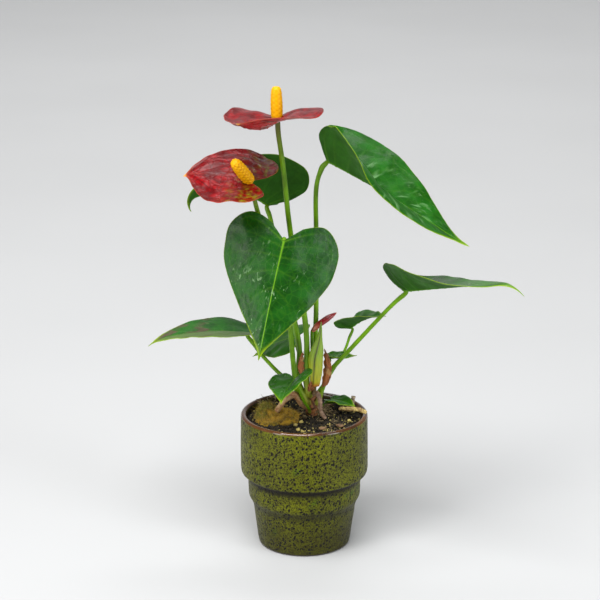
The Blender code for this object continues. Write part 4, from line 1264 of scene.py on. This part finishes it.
def make_rhizome():
    """The knobbly stub that carries the stems: rings of old leaf scars, uneven all round."""
    rows, sides = 90, 64
    heights = np.linspace(RHIZOME_SHAPE[0][0], RHIZOME_SHAPE[-1][0], rows)
    path = np.stack([np.full(rows, CROWN[0]), np.full(rows, CROWN[1]), heights], 1)
    turn, heights = turns(sides), heights[:, None]
    scars = 0.16 * np.sin(heights * 2.4 + 0.8 * np.sin(turn))
    radii = rhizome_radius(heights) + scars + 0.25 * tube_waviness(turn, RHIZOME_RADIUS, heights, 3, 41)
    finish = bark_finish("rhizome_bark", (0.34, 0.13, 0.035), (0.09, 0.035, 0.014), 300)
    stand_in("rhizome", "rhizome_fine", [tube_grid(path, radii, sides)], finish)


def beside_rhizome(angle, height, radius):
    """Where the foot of a stem or root of this radius stands at the rhizome's side."""
    reach = rhizome_radius(height) + GAP + radius
    east, north = compass(angle)
    return CROWN[0] + reach * east, CROWN[1] + reach * north, height


def bar(route, radii, sides, uneven, seed, per_knot=14, lengthwise=0.0):
    """The grid and attributes of a round bar on a smooth curve through the route. Its radius follows the
    given ones, made uneven, and lengthwise adds furrows that run along it."""
    count = per_knot * (len(route) - 1) + 1
    path = smooth_path(route, count)
    radius = np.interp(np.linspace(0, 1, count), np.linspace(0, 1, len(radii)), radii)[:, None]
    turn, heights = turns(sides), np.linspace(0, count / 3, count)[:, None]
    knobs = tube_waviness(turn, 1.5, heights, 2.4, seed)
    radii = radius * (1 + uneven * knobs + lengthwise * np.cos(turn * 5 + seed))
    return [tube_grid(path, radii, sides)], ringwise(np.linspace(0, 1, count), sides)


def ringwise(share, sides):
    """The attribute along, of a tube whose rings lie at these shares of its length."""
    return {"along": [with_ends(np.repeat(share[:, None], sides, 1))]}


def make_roots():
    """Two thick aerial roots that leave the crown and go down into the mix."""
    skins = {
        "left": bark_finish("root_left_skin", (0.44, 0.29, 0.14), (0.26, 0.11, 0.04), 240, roughness=0.5),
        "right": bark_finish("root_right_skin", (0.3, 0.19, 0.12), (0.11, 0.06, 0.035), 300, roughness=0.55),
    }
    for name, (angle, height, route, radii) in ROOTS.items():
        foot = beside_rhizome(angle, height, radii[0])
        inner = beside_rhizome(angle, height - 1.5, -radii[0])
        radii = (radii[0] * 1.2, *radii)
        grids, attributes = bar([inner, foot, *route], radii, 36, 0.09, 51, per_knot=22, lengthwise=0.03)
        stand_in("root_" + name, "aerial_root_" + name, grids, skins[name], attributes)


def make_root_fibres():
    """Fine dried rootlets and fibres, tangled at the foot of the crown: thin bars on random curved
    routes."""
    rng = np.random.default_rng(61)
    finish = bark_finish("fibre_skin", (0.22, 0.165, 0.075), (0.085, 0.056, 0.024), 500)
    grids = []
    for centre, spread, count in ROOTLETS:
        for _ in range(count):
            start = np.array(centre) + rng.normal(0, 0.45, 3) * spread
            ways = rng.normal(0, 0.5, (3, 3)) * spread * np.array([1, 1, 0.55])
            route = start + np.cumsum(np.vstack([np.zeros(3), ways]), 0)
            route[:, 2] = np.maximum(route[:, 2], mix_level(np.hypot(route[:, 0], route[:, 1])) + 0.1)
            path = smooth_path(route, 14)
            grids.append(tube_grid(path, np.linspace(0.2, 0.07, 14) * rng.uniform(0.6, 1.2), 6))
    adds(grids_object("root_fibres", grids, finish))


def make_chips(settings):
    """The larger bits that lie on the mix."""
    skins = {
        "perlite": crumb_like("perlite_fine", settings.grit),
        "bark": bark_finish("bark_bits", (0.26, 0.15, 0.07), (0.07, 0.035, 0.016), 420, (1, 1, 2)),
    }
    for i, (name, (angle, share, radii, turn)) in enumerate(CHIPS.items()):
        kind = name.split("_")[0]
        x, y = on_mix(angle, share)
        centre = (x, y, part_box(name)[0].z / MM - RIM + radii[2] * 0.95)
        grid = lump_grid(centre, np.array(radii) * 0.97, turn, 0.12, 71 + i)
        stand_in(name, name + "_fine", [grid], skins[kind])


def crumb_like(name, colour):
    """A pale, porous crumb, with painted shade in its pores."""
    f = Finish(name)
    pores = f.band(f.cells(f.place(), 1300), 0.35, 0.1)
    # painted shade: the pores, sunk by the bump, are darkened
    tint = f.blend(pores, colour, toned(colour, 0.35))
    return f.done(Base_Color=tint, Roughness=0.9, Normal=f.bump(pores, -0.2))


def make_litter():
    """A dried stalk that leans over the rim, and a twig."""
    routes = {
        "dry_stalk": (DRY_STALK_ROUTE, DRY_STALK_RADII, (0.55, 0.42, 0.14), (0.16, 0.085, 0.03)),
        "twig": (TWIG_ROUTE, TWIG_RADII, (0.45, 0.36, 0.24), (0.15, 0.1, 0.06)),
    }
    for i, (name, (route, radii, light, dark)) in enumerate(routes.items()):
        places = [(*on_mix(angle, share), height) for angle, share, height in route]
        finish = bark_finish(name + "_skin", light, dark, 330)
        grids, attributes = bar(places, radii, 24, 0.12, 81 + i, lengthwise=0.05)
        stand_in(name, name + "_fine", grids, finish, attributes)


def make_stem(name, node, stem, blade, finish, knee):
    """A stem from inside the rhizome's skin up to the blade's joint. It flares at its foot, tapers, swells
    in a knee just under a leaf, and has a shallow channel along one side."""
    foot = beside_rhizome(stem.side, stem.height, stem.foot)
    inner = beside_rhizome(stem.side, stem.height - 2.5, -stem.foot * 0.6)
    up = joint_up(blade)
    end = np.array(blade.joint) - up * 0.1
    below = np.array(blade.joint) - up * 1.4
    route = [inner, foot, *stem.route, below, end]
    count, sides = 16 * (len(route) - 1) + 1, 28
    path = smooth_path(route, count)
    lengths = lengths_along(path)
    share, left = lengths / lengths[-1], lengths[-1] - lengths
    radius = stem.foot + (stem.top - stem.foot) * share
    radius = radius * (1 + 0.28 * np.exp(-lengths / 3.5) + knee * hills(left - 4.5, 3.2))
    radius = radius * (1 - 0.25 * hills(left, 0.7))
    turn = turns(sides)
    channel = 0.1 * clamp(np.cos(turn - 1.2)) ** 4 * clamp(share * 8)[:, None]
    radii = radius[:, None] * (1 - channel + 0.025 * tube_waviness(turn, 1, lengths[:, None] / 6, 2.5, 91))
    stand_in(node, name, [tube_grid(path, radii, sides)], finish, ringwise(share, sides))


def make_leaf(name, finish, seed):
    """A leaf's blade."""
    blade = LEAVES[name]
    grids, attributes = blade_grids(blade, RELIEFS.get(name, SMALL_LEAF), seed)
    stand_in("blade_" + name, "leaf_" + name, grids, finish, attributes, around=False)


def make_spadix(name, blade, top, radius, standing, finish):
    """A spadix on its spathe: a rod along a line, its radius by the spadix's shape, covered in tiny
    flowers. They sit where two families of spirals cross, so a point's height is the root of the mean of a
    cosine across either."""
    top = np.array(top)
    foot = blade.joint + unit(top - blade.joint) * SPADIX_SEAT
    rows, sides = 150, 96
    share = np.linspace(0, 1, rows)
    path = foot + (top - foot) * share[:, None]
    base = radius * np.interp(share, *zip(*SPADIX_SHAPE))
    base = base * np.sqrt(clamp((1 - share) * 40))
    turn = turns(sides)
    rise = share[:, None] * np.linalg.norm(top - foot) / radius
    flower = np.sqrt(0.5 + 0.25 * (np.cos(7 * turn + 8 * rise) + np.cos(5 * turn - 8 * rise)))
    radii = base[:, None] + standing * (flower - 0.5) * clamp(base / radius)[:, None]
    grid = tube_grid(path, radii, sides)
    # shown carries the flowers' height to the finish, which paints shade into the furrows
    shown = 1 - (1 - flower) * min(1.4 * standing, 1)
    stand_in("spadix_" + name, "spike_" + name, [grid], finish, {"flower": [with_ends(shown)]})


def make_leaves(settings):
    """Every leaf with its petiole."""
    grown, young = tuple(settings.upper), tuple(settings.young)
    half = tuple((a + b) / 2 for a, b in zip(grown, young))
    older = toned(grown, 1.3)
    skins = {  # colour, gloss, marks, and what only some leaves have
        "front": (grown, 0.36, 0.75, {"veins": 1.0}),
        "tall": (older, 0.34, 0.3, {"streaks": 0.6}),
        "right": (half, 0.3, 0.25, {}),
        "rear": (grown, 0.4, 0.2, {}),
        "left": (older, 0.45, 0.3, {"brown": 0.95}),
        "low_front": (half, 0.26, 0.7, {}),
        "back_right": (half, 0.32, 0.2, {}),
        "back_left": (half, 0.35, 0.3, {}),
        "low_right": (young, 0.35, 0.1, {}),
        "on_mix": (half, 0.35, 0.3, {}),
    }
    stem = stem_finish(settings, "petiole_skin", (0.3, 0.3, 0.04), toned(settings.stem, 1.3))
    for i, (name, (upper, gloss, marks, more)) in enumerate(skins.items()):
        finish = leaf_finish(settings, "leaf_" + name + "_skin", upper, gloss, marks, **more)
        make_leaf(name, finish, 11 + i)
        make_stem("leafstalk_" + name, "petiole_" + name, PETIOLES[name], LEAVES[name], stem, 0.2)


def make_flowers(settings, leaf):
    """Each spathe with its stalk and its spadix."""
    skins = {
        "top": spathe_finish(settings, "spathe_top_skin", 0.0),
        "left": spathe_finish(settings, "spathe_left_skin", 1.0),
    }
    stem = stem_finish(leaf, "stalk_skin", (0.3, 0.34, 0.03), (0.1, 0.1, 0.015), 0.8)
    spike = spadix_finish(settings)
    for i, (name, blade) in enumerate(SPATHES.items()):
        grids, attributes = blade_grids(blade, SPATHE_RELIEF, 3 + i)
        stand_in("spathe_" + name, "bract_" + name, grids, skins[name], attributes, around=False)
        make_stem("flowerstalk_" + name, "stalk_" + name, STALKS[name], blade, stem, 0.05)
        make_spadix(name, blade, *SPADICES[name], spike)


def make_sheath():
    """The sheath beside the crown: level ellipses joined up its height, pinched along a fold, ending in a
    point."""
    heights, centres, wides, deeps = zip(*SHEATH_RINGS)
    rows, sides = 110, 80
    knots = np.array([(h, *c, w, d) for h, c, w, d in zip(heights, centres, wides, deeps)])
    h, x, y, wide, deep = smooth_path(knots, rows).T
    turn = turns(sides)
    share = np.linspace(0, 1, rows)[:, None]
    seam = SHEATH_SEAM + SHEATH_WIND * (1 - share)
    off = np.abs((turn - seam + np.pi) % (2 * np.pi) - np.pi)
    fold = hills(off, 0.16) * clamp(share * 3)
    swell = 1 - 0.22 * fold + 0.1 * hills(off - 0.35, 0.2)
    swell = swell + 0.03 * tube_waviness(turn, 1, share * 3, 1.6, 101)
    middle = np.stack([x, y, h], 1)
    out_x, out_y = wide[:, None] * swell * np.cos(turn), deep[:, None] * swell * np.sin(turn)
    rings = middle[:, None] + np.stack([out_x, out_y, np.zeros_like(swell)], -1)
    attributes = {"along": [with_ends(share + 0 * turn)], "fold": [with_ends(fold)]}
    stand_in("sheath", "sheath_fine", [closed(middle, rings)], sheath_finish(), attributes)


def make_bud(settings, stalk_finish):
    """The bud's stalk, and the bud: a rolled spathe, with the seam of the roll winding slowly round it."""
    foot = (*CROWN, RHIZOME_SHAPE[-1][0] - 1)
    route = [foot, *BUD_STALK_ROUTE, BUD_STALK_TOP]
    radii = (BUD_STALK_RADIUS * 1.2, BUD_STALK_RADIUS, BUD_STALK_RADIUS)
    grids, attributes = bar(route, radii, 24, 0.02, 111)
    stand_in("stalk_bud", "bud_stalk_fine", grids, stalk_finish, attributes)
    seat = np.array(BUD_STALK_ROUTE[-1]) + (0, 0, BUD_SEAT)
    count, sides = 90, 60
    path = smooth_path([seat, *BUD_ROUTE], count)
    share = np.linspace(0, 1, count)[:, None]
    radius = np.interp(share[:, 0], np.linspace(0, 1, len(BUD_RADII)), BUD_RADII)[:, None]
    radius = radius * np.sqrt(np.clip((1 - share) * 6, 0.02, 1)) * clamp(0.75 + share * 3)
    turn = turns(sides)
    off = (turn - BUD_SEAM - BUD_WIND * share) % (2 * np.pi)
    seam = hills(np.minimum(off, 2 * np.pi - off), 0.14)
    radii = radius * (1 + 0.1 * (off / (2 * np.pi) - 0.5) - 0.1 * seam)
    attributes = {"along": [with_ends(share + 0 * turn)], "fold": [with_ends(seam)]}
    stand_in("bud", "bud_fine", [tube_grid(path, radii, sides)], bud_finish(settings), attributes)


def make_papery():
    """The dry scraps of sheath round the crown."""
    finish = papery_finish()
    for i, (name, blade) in enumerate(PAPERY.items()):
        grids, attributes = blade_grids(blade, PAPERY_RELIEF, 121 + i)
        stand_in("papery_" + name, "dry_sheath_" + name, grids, finish, attributes, around=False)


# Stage

def add_area(name, place, target, width, height, power, colour=(1, 1, 1)):
    """A soft rectangular light that faces its target. Places are in metres."""
    data = bpy.data.lights.new(name, "AREA")
    data.shape, data.size, data.size_y = "RECTANGLE", width, height
    data.energy, data.color = power, colour
    made = linked(name, data)
    made.location = place
    way = np.array(target) - np.array(place)
    made.rotation_euler = (math.acos(way[2] / -np.linalg.norm(way)), 0, math.atan2(-way[0], way[1]))


def make_stage(settings):
    """A pale floor that sweeps up into a backdrop through a quarter circle, the camera, two tall soft
    lights, a broad one above, one on the backdrop, and a faint sky."""
    across = np.linspace(-4, 4, 3)
    turn = np.linspace(0, np.pi / 2, 16)
    bend = BACKDROP_BEND
    deep = np.concatenate([[-3], BACKDROP_START + bend * np.sin(turn), [BACKDROP_START + bend]])[:, None]
    high = np.concatenate([[0], bend - bend * np.cos(turn), [4]])[:, None]
    grid = np.stack(np.broadcast_arrays(across, deep, high), -1) / MM - (0, 0, RIM)
    grids_object("stage_floor", [grid], stage_finish(settings), around=False)

    camera = linked("camera", bpy.data.cameras.new("camera"))
    camera.location = np.array(CAMERA_PLACE) * MM
    camera.rotation_euler = (math.pi / 2 - settings.pitch, 0, 0)
    camera.data.lens = settings.lens
    camera.data.sensor_width = SENSOR_WIDTH
    bpy.context.scene.camera = camera

    middle = (0, 0, 0.1)
    add_area("tall_left", (-1.1, -0.95, 0.45), middle, 0.45, 1.1, 11, (1, 0.98, 0.95))
    add_area("tall_right", (1.15, -0.85, 0.45), middle, 0.45, 1.1, 11, (0.95, 0.98, 1))
    add_area("overhead", (-0.25, -0.6, 1.6), middle, 1.2, 1.0, 42)
    add_area("backdrop_light", (0, 1.2, 2.2), (0, 2.4, 0.8), 2.0, 0.8, 46)
    world = bpy.data.worlds.new("soft_sky")
    bpy.context.scene.world = world
    world.use_nodes = True
    sky = world.node_tree.nodes["Background"]
    sky.inputs["Color"].default_value = (1, 0.99, 0.97, 1)
    sky.inputs["Strength"].default_value = 0.2
    bpy.context.scene.view_settings.view_transform = "Standard"


# Operators


class ANTHURIUM_OT_stage(bpy.types.Operator):
    """Make the floor, the camera and the lights"""

    bl_idname = "anthurium.stage"
    bl_label = "Stage"

    def execute(self, context):
        make_stage(context.scene.anthurium_stage)
        return {"FINISHED"}


class ANTHURIUM_OT_pot(bpy.types.Operator):
    """Make the glazed pot"""

    bl_idname = "anthurium.pot"
    bl_label = "Pot"

    def execute(self, context):
        make_glazed_pot(context.scene.anthurium_pot)
        return {"FINISHED"}


class ANTHURIUM_OT_mix(bpy.types.Operator):
    """Make the potting mix and what lies loose on it"""

    bl_idname = "anthurium.mix"
    bl_label = "Potting mix"

    def execute(self, context):
        settings = context.scene.anthurium_mix
        make_mix_body(settings)
        make_crumbs(settings)
        make_chips(settings)
        make_litter()
        return {"FINISHED"}


class ANTHURIUM_OT_moss(bpy.types.Operator):
    """Make the moss"""

    bl_idname = "anthurium.moss"
    bl_label = "Moss"

    def execute(self, context):
        make_moss(context.scene.anthurium_mix)
        return {"FINISHED"}


class ANTHURIUM_OT_roots(bpy.types.Operator):
    """Make the rhizome, the aerial roots and the rootlets"""

    bl_idname = "anthurium.roots"
    bl_label = "Rhizome and roots"

    def execute(self, context):
        make_rhizome()
        make_roots()
        make_root_fibres()
        return {"FINISHED"}


class ANTHURIUM_OT_leaves(bpy.types.Operator):
    """Make the leaves and their petioles"""

    bl_idname = "anthurium.leaves"
    bl_label = "Leaves"

    def execute(self, context):
        make_leaves(context.scene.anthurium_leaf)
        return {"FINISHED"}


class ANTHURIUM_OT_flowers(bpy.types.Operator):
    """Make the spathes, their stalks and spadices"""

    bl_idname = "anthurium.flowers"
    bl_label = "Flowers"

    def execute(self, context):
        make_flowers(context.scene.anthurium_flower, context.scene.anthurium_leaf)
        return {"FINISHED"}


class ANTHURIUM_OT_new_growth(bpy.types.Operator):
    """Make the sheath, the dry sheaths and the bud"""

    bl_idname = "anthurium.new_growth"
    bl_label = "New growth"

    def execute(self, context):
        make_sheath()
        make_papery()
        leaf, flower = context.scene.anthurium_leaf, context.scene.anthurium_flower
        make_bud(flower, stem_finish(leaf, "bud_stalk_skin", (0.3, 0.34, 0.03), (0.2, 0.22, 0.02)))
        return {"FINISHED"}


OPERATORS = (ANTHURIUM_OT_stage, ANTHURIUM_OT_pot, ANTHURIUM_OT_mix, ANTHURIUM_OT_moss, ANTHURIUM_OT_roots,
             ANTHURIUM_OT_leaves, ANTHURIUM_OT_flowers, ANTHURIUM_OT_new_growth)


class ANTHURIUM_PT_panel(bpy.types.Panel):
    """Lists the settings and the operators"""

    bl_idname = "ANTHURIUM_PT_panel"
    bl_label = "Potted Anthurium"
    bl_space_type = "VIEW_3D"
    bl_region_type = "UI"
    bl_category = "Anthurium"

    def draw(self, context):
        for key, group in SETTINGS.items():
            settings = getattr(context.scene, key)
            box = self.layout.box()
            for name in group.__annotations__:
                box.prop(settings, name)
        for operator in OPERATORS:
            self.layout.operator(operator.bl_idname)


def register():
    for group in (*SETTINGS.values(), *OPERATORS, ANTHURIUM_PT_panel):
        bpy.utils.register_class(group)
    for key, group in SETTINGS.items():
        setattr(bpy.types.Scene, key, PointerProperty(type=group))


def unregister():
    for key in SETTINGS:
        delattr(bpy.types.Scene, key)
    for group in (ANTHURIUM_PT_panel, *OPERATORS[::-1], *list(SETTINGS.values())[::-1]):
        bpy.utils.unregister_class(group)


def main():
    register()
    bpy.ops.anthurium.stage()
    bpy.ops.anthurium.pot()
    bpy.ops.anthurium.mix()
    bpy.ops.anthurium.moss()
    bpy.ops.anthurium.roots()
    bpy.ops.anthurium.leaves()
    bpy.ops.anthurium.flowers()
    bpy.ops.anthurium.new_growth()


if __name__ == "__main__":
    main()
